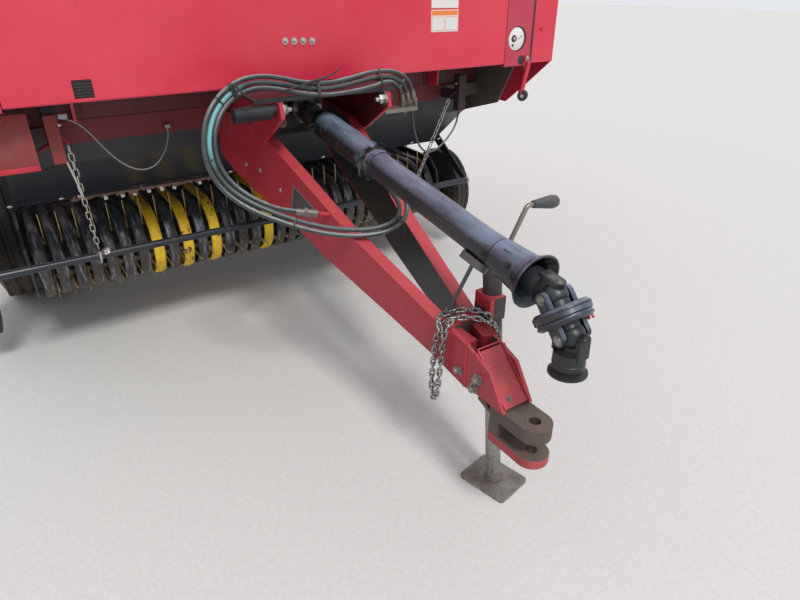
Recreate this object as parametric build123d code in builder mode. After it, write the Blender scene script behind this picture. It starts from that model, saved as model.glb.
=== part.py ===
from build123d import *
import os
from math import atan, cos, radians, sin, sqrt, tan

os.makedirs("parts", exist_ok=True)

# Round baler, in millimetres. Floor at z = 0, x = 0 on the centre line, the hitch towards -Y.
# The machine's left side is +X. Side-view points are (y, z).

# Overall
seat = 0.3                   # gap between pieces that seat on each other
half_width = 1349            # centre line to the outer face of a side shield

# Bale chamber
chamber_half = 790           # centre line to the inner face of a side sheet
side_sheet = 10
bale_y = 950                 # centre of the full bale
bale_z = 1500
bale_radius = 900
rib_depth = 38

# Main frame
beam_y = -500                # front face of the cross beam
beam_low = 1025
beam_high = 1105
beam_depth = 130
beam_wall = 8
rail_width = 55              # long rails that carry the axle
rail_height = 120
rail_rear = 930

# Wheels
wheel_x = 1050               # centre line to the middle of a tyre
wheel_y = 760
wheel_radius = 490
tyre_width = 360
rim_radius = 215
rim_width = 300
groove_depth = 14
groove_count = 4
hub_radius = 72
spindle_radius = 34
running_fit = 0.06           # radial clearance of a shaft in its bore
axle_size = 110

# Drawbar arms: box sections that taper towards the nose
arm_ref_y = -785             # where the outer face is arm_ref_x from the centre line
arm_ref_x = 218
arm_slope = 0.148            # how much nearer the centre line per mm forward
arm_width = 46
nose_half = 57               # centre line to the outer face of a nose plate
nose_plate = 12
bracket_plate = 14
shelf_z = 1202               # top of the hose shelf
shelf_y = -1006
shelf_sheet = 8
shelf_lip = 16

# Clevis
pin_y = -2114
pin_bore = 34
ear_radius = 50
upper_ear_top = 473
upper_ear = 45
lower_ear_top = 370
lower_ear = 28
clevis_root_y = -1985

# Jack
jack_x = 106
foot_y = -1870
foot_length = 185
foot_width = 150
foot_plate = 12
inner_tube_radius = 25.5
outer_tube_radius = 29.5
jack_lean = 6.4              # degrees from upright, its top towards the rear
outer_tube_low = 305
outer_tube_high = 845
inner_tube_top = 555
crank_radius = 7.5

# Front hood
panel_y = -790               # front face of the front panel
panel_low = 1207
panel_half = 1004
panel_sheet = 4
hem = 26
strip_half = 1168            # centre line to the outer edge of a corner strip
strip_gap = 3
shoulder_z = 1980            # where the front panel starts to curve back
brow_radius = 420
hood_top = 2740
hood_rear = 560
dial_x = 1078
dial_z = 1314
dial_radius = 51

# Side shields
shield_sheet = 5
shield_front_y = -786
shield_rear_y = 1150
shield_low = 965
shield_high = 2290
shield_hinge_x = 1182
shield_hinge_z = 2420
hinge_tube = 7               # radius of the tube that turns on the hinge rod
hinge_rod = 4

# Deflector above the pickup
deflector_top_y = -452
deflector_top_z = 946
lip_y = -200
lip_z = 742
lip_half = 1052
lip_strip = 38
deflector_sheet = 5
strip_sheet = 6

# Pickup
reel_y = -60
reel_z = 445
tine_reach = 240             # shaft centre to a tine's tip
tine_wire = 6
band_radius = 170
band_pitch = 68
band_width = 50
band_count = 31
band_sheet = 4
carrier_y = 156              # front face of the carriers behind the reel
carrier = 44                 # side of the square carriers
tine_bar_radius = 112        # shaft centre to a tine bar's middle
tine_bar = 26
tine_bars = 4
reel_shaft_radius = 22
pickup_plate_x = 1062        # centre line to the inner face of a pickup end plate
pickup_plate = 12
lift_y = 420                 # lift axis of the pickup
lift_z = 600
lift_pin_radius = 20
gauge_x = 1292
gauge_y = 38
gauge_z = 365
gauge_radius = 245
gauge_width = 104
gauge_axle_radius = 15

# Wind guard
guard_y = -350
guard_z = 522
guard_radius = 16
guard_half = 1190
guard_pivot_y = 60
guard_pivot_z = 782
guard_arm = 10
guard_pin_radius = 12

# Tailgate
gate_y = 640                 # hinge line
gate_z = 2680
gate_pin_radius = 24
gate_gap = 14                # between the tailgate sheets and the front body's

# Tailgate cylinders
cylinder_x = 884
cylinder_foot = (360, 1240)
cylinder_head = (1180, 2220)
barrel_radius = 38
rod_radius = 20
cylinder_pin_radius = 16
barrel_length = 860
eye_half = 22                # half width of the eyes at both ends
eye_radius = 30
cylinder_boss = 34           # boss on the tailgate that the rod's eye turns beside

# Power shaft
stub_radius = 26
snout_radius = 56
stub_y = -770
stub_z = 1112
joint_y = -872               # rear cross
joint_z = 1081
shaft_drop = 9.6             # degrees below level
rear_guard_start = 62
rear_guard_length = 345
rear_guard_radius = 52
guard_wall = 5
bearing_width = 22           # rings that carry the guard tubes
guard_lap = 430              # rear cross to the front guard tube's rear end
front_guard_radius = 45
shaft_end = 1205             # rear cross to the mouth of the front bell
bell_start = 1060
bell_neck = 57
bell_radius = 77
first_cross_along = 1269     # rear cross to the first cross of the wide-angle joint
cross_arm = 49               # reach of the cross's pins along x
inner_arm = 29               # reach of its other pins at the rear joint
outer_arm = 44               # reach of its other pins at the wide-angle joint
pin_radius = 11
cheek_sheet = 14
cheek_radius = 18
hub_start = 42               # cross to the hub of each fork
outer_tube = 29               # telescoping tube and the bar inside it
outer_tube_end = 510
inner_bar = 24
inner_bar_start = 120
slide_fit = 0.3
knuckle_bend = 39.2          # degrees that each half of the wide-angle joint bends
knuckle_span = 104           # between the two crosses of the wide-angle joint
ring_radius = 75
ring_bore = 42
ring_half = 21
ring_web = 4                 # half thickness of the web across the ring
yoke_length = 120
yoke_hub = 41
collar_radius = 50
spline_radius = 17.5

# Hoses and wire
hose_radius = 8
thin_radius = 4.5
wire_radius = 2.5
fitting_radius = 12
fitting_length = 46
coupler_length = 50
peg_end = (-190, -1216, 846)  # peg on the right arm that holds the parked coupler

SIDES = [(-1, "right"), (1, "left")]


def write(piece, name):
    piece.part.label = name
    export_step(piece.part, f"parts/{name}.step")


def slab(low, high, outline, mode=Mode.ADD):
    """A plate across the machine: a side-view outline from x = low to x = high."""
    with BuildSketch(Plane.YZ.offset(low)) as profile:
        with BuildLine():
            Polyline(*outline, close=True)
        make_face()
    extrude(profile.sketch, amount=high - low, mode=mode)


def bar(start, end, radius, bore=0.0, mode=Mode.ADD):
    """A round bar or tube between two points."""
    axis = Vector(*end) - Vector(*start)
    with BuildSketch(Plane(origin=start, z_dir=axis)) as ring:
        Circle(radius)
        if bore:
            Circle(bore, mode=Mode.SUBTRACT)
    extrude(ring.sketch, amount=axis.length, mode=mode)


def cross_bar(half, y, z, radius, bore=0.0, mode=Mode.ADD):
    bar((-half, y, z), (half, y, z), radius, bore, mode)


def block(x, y, z, mode=Mode.ADD):
    """A box from three (low, high) pairs."""
    with Locations(((x[0] + x[1]) / 2, (y[0] + y[1]) / 2, (z[0] + z[1]) / 2)):
        Box(x[1] - x[0], y[1] - y[0], z[1] - z[0], mode=mode)


def span(side, near, far):
    """An (low, high) pair of x for a piece between two distances from the centre line."""
    return tuple(sorted((side * near, side * far)))


def wheel_plane(side, x, y, z):
    """Section plane through a wheel's axis: local x is the radius, local y points away from the machine."""
    return Plane(origin=(side * x, y, z), x_dir=(0, 0, 1), z_dir=(0, side, 0))


def turn(plane, outline, mode=Mode.ADD):
    """A ring or disc turned from a section of (radius, offset) points."""
    with BuildSketch(plane) as section:
        with BuildLine():
            Polyline(*outline, close=True)
        make_face()
    revolve(section.sketch, axis=Axis(plane.origin, plane.y_dir), mode=mode)


def bent_sheet(plane, points, radii, thickness, depth):
    """A sheet whose section follows points with rounded bends, pushed out from a plane by depth."""
    with BuildSketch(plane) as section:
        with BuildLine():
            FilletPolyline(*points, radius=radii)
        trace(line_width=thickness)
    extrude(section.sketch, amount=depth)


def strip_between(start, end, thickness):
    """Side-view outline of a flat sheet that runs from start to end, its thickness above the line."""
    run = Vector(end[0] - start[0], end[1] - start[1])
    up = Vector(-run.Y, run.X).normalized() * thickness
    return [start, end, (end[0] + up.X, end[1] + up.Y), (start[0] + up.X, start[1] + up.Y)]


# Chamber sides with their outside ribs

outer_face = chamber_half + side_sheet
frame_outer = outer_face + rail_width
rail_low = beam_high - rail_height
beam_rear = beam_y + beam_depth
split_low_y = bale_y - 20

chamber_outline = [
    (beam_y - 60, beam_high + seat), (beam_y - 140, 1900), (-430, 2420), (60, gate_z + 26),
    (gate_y - 40, gate_z + 34), (gate_y + 30, gate_z + 20), (gate_y + 34, gate_z - 20),
    (gate_y + 10, gate_z - 120),
    (gate_y + 60, 2300),
    (split_low_y, bale_z), (split_low_y, 720), (560, 552), (400, 560), (250, 660),
    (beam_rear + seat, 985), (beam_rear + seat, beam_high + seat),
]
ribs = [  # foot y, head y, head z
    (-440, -400, 2330), (220, 220, 2600), (620, 620, 2560),
]

foot_z = beam_high + 7
with BuildPart() as chamber_sides:
    for side in (-1, 1):
        slab(*span(side, chamber_half, outer_face), chamber_outline)
        for rib_foot, rib_head, rib_top in ribs:
            slab(*span(side, outer_face, outer_face + rib_depth),
                 [(rib_foot, foot_z), (rib_foot + 50, foot_z), (rib_head + 50, rib_top), (rib_head, rib_top)])
        bar((side * outer_face, gate_y, gate_z), (side * (outer_face + 34), gate_y, gate_z), gate_pin_radius)
        bar((side * outer_face, lift_y, lift_z), (side * (outer_face + 30), lift_y, lift_z), lift_pin_radius)
        bar((side * outer_face, *cylinder_foot), (side * (cylinder_x + 26), *cylinder_foot),
            cylinder_pin_radius)
write(chamber_sides, "chamber_sides")

# Main frame: hollow cross beam and the two long rails

with BuildPart() as main_frame:
    with Locations((0, beam_y + beam_depth / 2, (beam_low + beam_high) / 2)):
        Box(2 * frame_outer, beam_depth, beam_high - beam_low)
        Box(2 * (frame_outer - beam_wall), beam_depth - 2 * beam_wall, beam_high - beam_low - 2 * beam_wall,
            mode=Mode.SUBTRACT)
    for side in (-1, 1):
        block(span(side, outer_face + seat, frame_outer), (beam_rear, rail_rear), (rail_low, beam_high))
write(main_frame, "main_frame")

# Axle: a beam under the chamber on two legs from the rails, with a spindle at each end

axle_top = wheel_radius + axle_size / 2
leg_half = 130
with BuildPart() as axle:
    block((-frame_outer, frame_outer), (wheel_y - axle_size / 2, wheel_y + axle_size / 2),
          (wheel_radius - axle_size / 2, axle_top))
    for side in (-1, 1):
        slab(*span(side, outer_face + 5, frame_outer - 5),
             [(wheel_y - leg_half, rail_low - seat), (wheel_y - 62, axle_top - 40),
              (wheel_y + 62, axle_top - 40),
              (wheel_y + leg_half, rail_low - seat)])
        bar((side * frame_outer, wheel_y, wheel_radius), (side * (wheel_x + 40), wheel_y, wheel_radius),
            spindle_radius)
write(axle, "axle")

# Wheels: rim with hub, and tyre

bead_radius = rim_radius + 22
hub_half = 105
disc_offset = 40             # middle of the wheel to the rim's disc


def tyre_outline(radius, width, bead, rim_half, groove, grooves):
    """Half section of a ribbed tyre from bead to bead."""
    shoulder = width / 2 - 0.14 * width
    rib = 2 * shoulder / (2 * grooves + 1)
    side_height = radius - bead
    points = [(bead, -rim_half), (bead + 0.08 * side_height, -rim_half - 4),
              (bead + 0.45 * side_height, -width / 2), (radius - 0.16 * side_height, -width / 2 + 0.03 * width),
              (radius - 0.03 * side_height, -shoulder)]
    for n in range(grooves):
        edge = -shoulder + (2 * n + 1) * rib
        points += [(radius, edge), (radius - groove, edge + 0.2 * rib),
                   (radius - groove, edge + 0.8 * rib), (radius, edge + rib)]
    points += [(radius - 0.03 * side_height, shoulder), (radius - 0.16 * side_height, width / 2 - 0.03 * width),
               (bead + 0.45 * side_height, width / 2), (bead + 0.08 * side_height, rim_half + 4),
               (bead, rim_half)]
    return points


for side, word in SIDES:
    plane = wheel_plane(side, wheel_x, wheel_y, wheel_radius)
    with BuildPart() as rim:
        turn(plane, [(rim_radius - 6, -rim_width / 2), (bead_radius, -rim_width / 2 - 8),
                     (bead_radius, -rim_width / 2), (rim_radius, -rim_width / 2 + 8),
                     (rim_radius, rim_width / 2 - 8), (bead_radius, rim_width / 2),
                     (bead_radius, rim_width / 2 + 8), (rim_radius - 6, rim_width / 2)])
        turn(plane, [(0, -hub_half), (hub_radius, -hub_half), (hub_radius, disc_offset - 10),
                     (150, disc_offset - 10), (rim_radius - 3, disc_offset + 24),
                     (rim_radius - 3, disc_offset + 34),
                     (150, disc_offset), (hub_radius, disc_offset), (hub_radius - 14, hub_half - 20),
                     (hub_radius - 30, hub_half), (0, hub_half)])
        bar((side * (wheel_x - hub_half), wheel_y, wheel_radius),
            (side * (wheel_x + 44), wheel_y, wheel_radius),
            spindle_radius + running_fit, mode=Mode.SUBTRACT)
    write(rim, f"rim_{word}")
    with BuildPart() as tyre:
        turn(plane, tyre_outline(wheel_radius, tyre_width, rim_radius + seat, rim_width / 2 - 9,
                                 groove_depth, groove_count))
    write(tyre, f"tyre_{word}")

# Drawbar: two tapering arms, brackets up to the hose shelf, a nose of two plates and a web


def arm_x(y):
    """Distance from the centre line to an arm's outer face."""
    return arm_ref_x + arm_slope * (y - arm_ref_y)


def jack_point(height):
    """A point on the jack's axis at a height above the floor."""
    return (jack_x, foot_y + height * tan(radians(jack_lean)), height)


arm_stretch = 1 / cos(atan(arm_slope))
arm_root_y = deflector_top_y - 14
arm_outline = [
    (-785, 1060), (beam_y - seat, 1100), (beam_y - seat, beam_low - seat), (arm_root_y, beam_low - seat),
    (arm_root_y, 905), (-574, 850), (-780, 786), (-1042, 717), (-1198, 661), (-1507, 579), (-1726, 519),
    (-1873, 466), (-1873, 615), (-1765, 635), (-1586, 702), (-1298, 812), (-1059, 930),
]
bracket_outline = [
    (-1045, 1136), (-1036, shelf_z - shelf_lip - seat), (shelf_y + shelf_sheet, shelf_z - shelf_lip - seat),
    (shelf_y + shelf_sheet, shelf_z - shelf_sheet - seat), (-640, shelf_z - shelf_sheet - seat),
    (beam_y - seat, 1104),
    (beam_y - seat, 1000), (-800, 1000), (-880, 1035),
]
nose_outline = [
    (-1700, 655), (-1849, 622), (-1975, 577), (-2046, upper_ear_top + seat), (-1930, upper_ear_top + seat),
    (-1873, 466),
    (-1726, 519), (-1660, 540),
]
clamp_low = 632              # block on the left arm that holds the jack's tube
clamp_high = 708
clamp_front = -1836
clamp_rear = -1752
web_top = (-1905, 598)
web_end = (clevis_root_y - 48, upper_ear_top + seat)
with BuildPart() as drawbar:
    for side in (-1, 1):
        plane = Plane(origin=(side * arm_ref_x, arm_ref_y, 0), x_dir=(side * arm_slope, 1, 0),
                      z_dir=(-side, arm_slope, 0))
        with BuildSketch(plane) as arm_side:
            with BuildLine():
                Polyline(*[((y - arm_ref_y) * arm_stretch, plane.y_dir.Z * z) for y, z in arm_outline],
                         close=True)
            make_face()
        extrude(arm_side.sketch, amount=arm_width)
        slab(*span(side, arm_ref_x - 10, arm_ref_x - 10 + bracket_plate), bracket_outline)
        slab(*span(side, nose_half - nose_plate, nose_half), nose_outline)
    slab(-nose_half + 1, nose_half - 1, strip_between(web_end, web_top, nose_plate))
    block((-nose_half, nose_half), (-1800, -1760), (560, 640))
    bar((-140, -1223, 834), peg_end, 8)
    with BuildSketch(Plane.XY.offset(clamp_low)) as clamp:
        with BuildLine():
            Polyline((arm_x(clamp_front) - 4, clamp_front), (jack_x + 14, clamp_front),
                     (jack_x + 14, clamp_rear),
                     (arm_x(clamp_rear) - 4, clamp_rear), close=True)
        make_face()
    extrude(clamp.sketch, amount=clamp_high - clamp_low)
    bar(jack_point(clamp_low - 30), jack_point(clamp_high + 30), outer_tube_radius + seat, mode=Mode.SUBTRACT)
    block((-frame_outer, frame_outer), (beam_y - seat, beam_rear + seat), (beam_low - seat, beam_high + 100),
          mode=Mode.SUBTRACT)
write(drawbar, "drawbar")

# Hose shelf: a folded plate on the brackets, with the spool for the twine lever and its bolts

bolt_z = 1160
bracket_outer = arm_ref_x - 10 + bracket_plate
with BuildPart() as hose_shelf:
    slab(-300, 258, [(shelf_y, shelf_z - shelf_lip), (shelf_y + 6, shelf_z - shelf_lip),
                     (shelf_y + 6, shelf_z - shelf_sheet),
                     (panel_y + hem, shelf_z - shelf_sheet), (panel_y + hem, shelf_z), (shelf_y, shelf_z)])
    for side in (-1, 1):
        bar((side * (bracket_outer + seat), shelf_y + 4, bolt_z),
            (side * (bracket_outer + 22), shelf_y + 4, bolt_z), 19)
    bar((-bracket_outer - 22 - seat, shelf_y + 4, bolt_z - 4),
        (-bracket_outer - 150, shelf_y + 4, bolt_z - 4), 26)
write(hose_shelf, "hose_shelf")

# Clevis at the nose: two ears with the hitch pin's bore

with BuildPart() as hitch_clevis:
    for top, thickness in [(upper_ear_top, upper_ear), (lower_ear_top, lower_ear)]:
        with BuildSketch(Plane.XY.offset(top - thickness)) as ear:
            with Locations((0, pin_y)):
                Circle(ear_radius)
            with Locations((0, (pin_y + clevis_root_y) / 2)):
                Rectangle(2 * ear_radius, clevis_root_y - pin_y)
        extrude(ear.sketch, amount=thickness)
    block((-ear_radius, ear_radius), (clevis_root_y - 40, clevis_root_y),
          (lower_ear_top - lower_ear, upper_ear_top))
    slab(-nose_half + nose_plate + seat, nose_half - nose_plate - seat,
         [(clevis_root_y, upper_ear_top - upper_ear), (clevis_root_y + 60, upper_ear_top - upper_ear + 20),
          (clevis_root_y + 60, upper_ear_top + 20), (clevis_root_y, upper_ear_top - 40)])
    with Locations((0, pin_y, (upper_ear_top + lower_ear_top) / 2)):
        Cylinder(pin_bore / 2, 2 * (upper_ear_top - lower_ear_top), mode=Mode.SUBTRACT)
write(hitch_clevis, "hitch_clevis")

# Jack: outer tube clamped to the left arm, its crank, and the inner tube with its foot plate


head = jack_point(outer_tube_high)
with BuildPart() as jack_tube:
    bar(jack_point(outer_tube_low), head, outer_tube_radius, inner_tube_radius + 0.6)
    bar(head, jack_point(outer_tube_high + 14), outer_tube_radius + 3)
write(jack_tube, "jack_tube")

spindle_z = 816
spindle_start = (jack_x + outer_tube_radius + seat, jack_point(spindle_z)[1], spindle_z)
crank_elbow = (152, spindle_start[1], spindle_z)
crank_top = (221, spindle_start[1] - 10, 963)
grip_end = (332, spindle_start[1] - 10, 954)
grip_radius = 21
with BuildPart() as jack_crank:
    with BuildLine() as crank_path:
        FilletPolyline(spindle_start, crank_elbow, crank_top, grip_end, radius=[10, 18])
    with BuildSketch(Plane(origin=crank_path.line @ 0, z_dir=crank_path.line % 0)) as crank_section:
        Circle(crank_radius)
    sweep(crank_section.sketch, path=crank_path.line)
write(jack_crank, "jack_crank")

grip_run = Vector(*grip_end) - Vector(*crank_top)
grip_axis = grip_run.normalized()
grip_length = grip_run.length - 22
with BuildPart() as crank_grip:
    with BuildSketch(Plane(origin=grip_end, x_dir=grip_axis.cross(Vector(0, 1, 0)),
                           z_dir=(0, 1, 0))) as grip_section:
        with BuildLine():
            Polyline((0, 15), (grip_radius - 9, 14), (grip_radius - 2, 5), (grip_radius, -12),
                     (grip_radius - 3, -38),
                     (crank_radius + 4, -grip_length), (crank_radius + seat, -grip_length),
                     (crank_radius + seat, seat), (0, seat), close=True)
        make_face()
    revolve(grip_section.sketch, axis=Axis(grip_end, tuple(grip_axis)))
write(crank_grip, "crank_grip")

with BuildPart() as jack_leg:
    bar(jack_point(foot_plate / 2), jack_point(inner_tube_top), inner_tube_radius)
    with BuildSketch(Plane.XY) as foot:
        with Locations(Location((jack_x, foot_y, 0), (0, 0, 12))):
            RectangleRounded(foot_width, foot_length, 14)
    extrude(foot.sketch, amount=foot_plate)
    with Locations((0, 0, -50)):
        Box(3000, 9000, 100, mode=Mode.SUBTRACT)
write(jack_leg, "jack_leg")

# Rest for the power shaft: a bent rod on the drawbar with a padded paddle under the guard

shaft_angle = radians(shaft_drop)
shaft_axis = Vector(0, -cos(shaft_angle), -sin(shaft_angle))
shaft_up = Vector(0, -sin(shaft_angle), cos(shaft_angle))


def shaft_point(along, up=0.0, x=0.0):
    """A point given by its distance from the rear cross along the shaft, and above its axis."""
    return (x, joint_y + along * shaft_axis.Y + up * shaft_up.Y,
            joint_z + along * shaft_axis.Z + up * shaft_up.Z)


paddle_thick = 22
paddle_length = 100
paddle_width = 46
rest_along = 1004            # rear cross to the paddle's middle
rest_side = radians(33)      # how far round the guard it lies, from straight below towards the right
rest_rod = 6
rest_out = Vector(-sin(rest_side), shaft_up.Y * -cos(rest_side), shaft_up.Z * -cos(rest_side))
paddle_seat = Vector(*shaft_point(rest_along)) + rest_out * (front_guard_radius + seat)
with BuildPart() as shaft_rest:
    with BuildSketch(Plane(origin=paddle_seat, x_dir=shaft_axis, z_dir=rest_out)) as paddle:
        SlotOverall(paddle_length, paddle_width)
    extrude(paddle.sketch, amount=paddle_thick)
    rod_foot = Vector(-36, -1766, 640 + seat)
    rod_bend = Vector(-41, -1760, 668)
    rod_top = paddle_seat + rest_out * (paddle_thick - 5)
    bar(rod_foot, rod_bend, rest_rod)
    bar(rod_bend, rod_top, rest_rod)
    bar(rod_bend - Vector(0, -6, 8), rod_bend + Vector(0, -6, 8), 13)
write(shaft_rest, "shaft_rest")

# Front hood: bent front panel, corner panels with the size dial, roof


def hood_line(low):
    """Middle line of the hood's sheet in side view, from its hem up over the brow to the roof, and its bend radii."""
    y = panel_y + panel_sheet / 2
    z = hood_top - panel_sheet / 2
    points = [(y + hem, low), (y, low), (y, shoulder_z), (y + 130, 2330), (-330, 2620), (120, z),
              (hood_rear, z)]
    return points, [6, brow_radius, 300, 300, 400]


vent_x = (-803, -744)
vent_z = (1220, 1276)
with BuildPart() as front_panel:
    bent_sheet(Plane.YZ.offset(-panel_half), *hood_line(panel_low + panel_sheet / 2), panel_sheet,
               2 * panel_half)
    block(vent_x, (panel_y - 1, panel_y + panel_sheet + 1), vent_z, mode=Mode.SUBTRACT)
write(front_panel, "front_panel")

window_radius = dial_radius + 3
corner_low = panel_low - 12
cheek_x = (strip_half - 8, strip_half - 4)
cheek_low = shield_hinge_z + 4
hinge_front = -562
with BuildPart() as corner_panels:
    for side in (-1, 1):
        low_x, high_x = span(side, panel_half + strip_gap, strip_half)
        bent_sheet(Plane.YZ.offset(low_x), *hood_line(corner_low + panel_sheet / 2), panel_sheet,
                   high_x - low_x)
        slab(*span(side, *cheek_x),
             [(hinge_front - 10, cheek_low), (-330, 2617), (120, hood_top - panel_sheet),
              (hood_rear, hood_top - panel_sheet),
              (hood_rear, 2500), (shield_rear_y + 12, 2500), (shield_rear_y + 12, cheek_low)])
        for y in (hinge_front - 10, shield_rear_y + 2):
            block(span(side, cheek_x[0], shield_hinge_x + 8), (y, y + 10), (shield_hinge_z - 8, cheek_low + 16))
        bar((side * shield_hinge_x, hinge_front - 5, shield_hinge_z),
            (side * shield_hinge_x, shield_rear_y + 8, shield_hinge_z),
            hinge_rod)
        block(span(side, outer_face + rib_depth + seat, cheek_x[0] + 1), (622, 668), (2440, 2500))
    bar((dial_x, panel_y - 1, dial_z), (dial_x, panel_y + panel_sheet + 1, dial_z), window_radius,
        mode=Mode.SUBTRACT)
write(corner_panels, "corner_panels")

dial_back = panel_y + panel_sheet + seat
with BuildPart() as bale_dial:
    bar((dial_x, dial_back, dial_z), (dial_x, dial_back + 8, dial_z), window_radius + 8)
    bar((dial_x, dial_back - 6, dial_z), (dial_x, dial_back + 2, dial_z), 8)
    block((dial_x - 3, dial_x + 3), (dial_back - 3, dial_back - 1), (dial_z, dial_z + 42))
write(bale_dial, "bale_dial")

# Frame behind the hood: posts on the cross beam and tubes that the panels bolt to

post_near = frame_outer - 14
hood_tubes = (1420, 1860)
with BuildPart() as hood_frame:
    for side in (-1, 1):
        block(span(side, post_near, post_near + 50), (beam_y, beam_y + 50), (beam_high + seat, 2250))
        for z in hood_tubes:
            block(span(side, post_near + 5, post_near + 45), (panel_y + panel_sheet + 30, beam_y), (z, z + 30))
    for z in hood_tubes:
        block((-strip_half + 6, strip_half - 6), (panel_y + panel_sheet + seat, panel_y + panel_sheet + 30),
              (z, z + 30))
write(hood_frame, "hood_frame")

# Side shields: each is one bent door from the front corner past the wheel, hinged under the roof's edge

wrap_gap = 5
corner_y = -761
chamfer_y = -456
arch_y = 290
arch_z = 1042
facet_low = panel_low - 3
for side, word in SIDES:
    x = half_width - shield_sheet / 2
    with BuildPart() as side_shield:
        bent_sheet(Plane.XZ.offset(-shield_rear_y),
                   [(side * x, shield_low), (side * x, shield_high - 160),
                    (side * (shield_hinge_x + 75), shield_high + 70),
                    (side * shield_hinge_x, shield_hinge_z)],
                   [220, 160], shield_sheet, shield_rear_y - corner_y)
        front_mid = shield_front_y + shield_sheet / 2
        with BuildSketch(Plane.XY.offset(facet_low)) as facet:
            with BuildLine():
                Polyline((side * (strip_half + wrap_gap), front_mid), (side * (half_width - 30), front_mid),
                         (side * x, corner_y + 4))
            trace(line_width=shield_sheet)
        extrude(facet.sketch, amount=shield_high - 190 - facet_low)
        wall = span(side, strip_half, half_width + 1)
        below = shield_low - 1
        slab(*wall, [(corner_y - 1, below), (corner_y - 1, facet_low), (-590, 1065), (chamfer_y, shield_low),
                     (chamfer_y, below)], mode=Mode.SUBTRACT)
        slab(*wall, [(arch_y - 70, below), (arch_y - 70, shield_low), (arch_y, arch_z),
                     (shield_rear_y + 1, arch_z),
                     (shield_rear_y + 1, below)], mode=Mode.SUBTRACT)
        slab(*span(side, shield_hinge_x - 10, half_width + 1),
             [(corner_y - 1, 1990), (-690, 2200), (hinge_front - 14, shield_hinge_z - 30),
              (hinge_front + 4, shield_hinge_z - 30), (hinge_front + 4, shield_hinge_z + 9),
              (corner_y - 1, shield_hinge_z + 9)],
             mode=Mode.SUBTRACT)
        hinge_line = (side * shield_hinge_x, hinge_front + 5, shield_hinge_z)
        bar(hinge_line, (side * shield_hinge_x, shield_rear_y, shield_hinge_z), hinge_tube)
        bar((side * shield_hinge_x, hinge_front + 3, shield_hinge_z),
            (side * shield_hinge_x, shield_rear_y, shield_hinge_z),
            hinge_rod + running_fit, mode=Mode.SUBTRACT)
    write(side_shield, f"side_shield_{word}")

# Deflector sheet that hangs under the cross beam, with a bolted strip along its lip

slope = Vector(lip_y - deflector_top_y, lip_z - deflector_top_z).normalized()
strip_start = (lip_y - slope.X * lip_strip, lip_z - slope.Y * lip_strip)
shift = Vector(slope.Y, -slope.X) * (seat + strip_sheet)
with BuildPart() as deflector:
    fold = deflector_top_y + 8
    slab(-lip_half, lip_half, strip_between((deflector_top_y, deflector_top_z), (lip_y, lip_z),
                                            deflector_sheet))
    slab(-lip_half, lip_half, [(deflector_top_y, deflector_top_z), (fold, deflector_top_z),
                               (fold, beam_low - seat),
                               (deflector_top_y, beam_low - seat)])
    slab(-lip_half, lip_half, strip_between((strip_start[0] + shift.X, strip_start[1] + shift.Y),
                                            (lip_y + shift.X, lip_z + shift.Y), strip_sheet))
write(deflector, "deflector")

# Gearbox on the beam, its output stub on the centre line with the rear fork of the power shaft


def dropped(angle):
    """Unit vector forwards and down by an angle, in degrees."""
    return Vector(0, -cos(radians(angle)), -sin(radians(angle)))


def cheeks(cross, axis, arm, x_arms):
    """The two rounded cheeks of a yoke, beside the cross."""
    across = Vector(1, 0, 0) if x_arms else Vector(1, 0, 0).cross(axis)
    for way in (-1, 1):
        cheek = cross + across * (way * (arm - cheek_sheet))
        with BuildSketch(Plane(origin=cheek, x_dir=axis, z_dir=across * way)) as ear:
            Circle(cheek_radius)
            with Locations((hub_start / 2 + 4, 0)):
                Rectangle(hub_start + 8, 2 * cheek_radius)
        extrude(ear.sketch, amount=cheek_sheet)


def fork(cross, axis, arm, x_arms, hub, length):
    """A yoke: two cheeks beside the cross, and a round hub behind it that joins them."""
    cheeks(cross, axis, arm, x_arms)
    bar(cross + axis * hub_start, cross + axis * length, hub)


def cross_pins(cross, axis, arm):
    """The cross itself: one pin along x in the other fork's bores, one fixed in this fork's cheeks."""
    up = Vector(1, 0, 0).cross(axis)
    bar(cross - Vector(cross_arm, 0, 0), cross + Vector(cross_arm, 0, 0), pin_radius)
    bar(cross - up * (arm - 1), cross + up * (arm - 1), pin_radius)


def pin_bores(cross):
    bar(cross - Vector(60, 0, 0), cross + Vector(60, 0, 0), pin_radius + running_fit, mode=Mode.SUBTRACT)


gearbox_half = 100
gearbox_depth = 215
rear_cross = Vector(0, joint_y, joint_z)
fork_axis = Vector(0, stub_y - joint_y, stub_z - joint_z).normalized()
with BuildPart() as gearbox:
    with BuildSketch(Plane.XZ.offset(-beam_y + seat)) as gearbox_face:
        with Locations((0, 1112)):
            RectangleRounded(2 * gearbox_half, 160, 30)
    extrude(gearbox_face.sketch, amount=gearbox_depth)
    bar((0, beam_y - gearbox_depth, stub_z), (0, stub_y, stub_z), snout_radius)
    fork(rear_cross, fork_axis, cross_arm, True, 36, 74)
    bar(rear_cross + fork_axis * 70, (0, stub_y + 10, stub_z), stub_radius)
    pin_bores(rear_cross)
write(gearbox, "gearbox")

# Rollers of the front chamber, between the side sheets


def round_bale(angle, distance):
    """A side-view point at an angle from the rear and a distance outside the full bale."""
    a = radians(angle)
    return (bale_y + (bale_radius + distance) * cos(a), bale_z + (bale_radius + distance) * sin(a))


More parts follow.
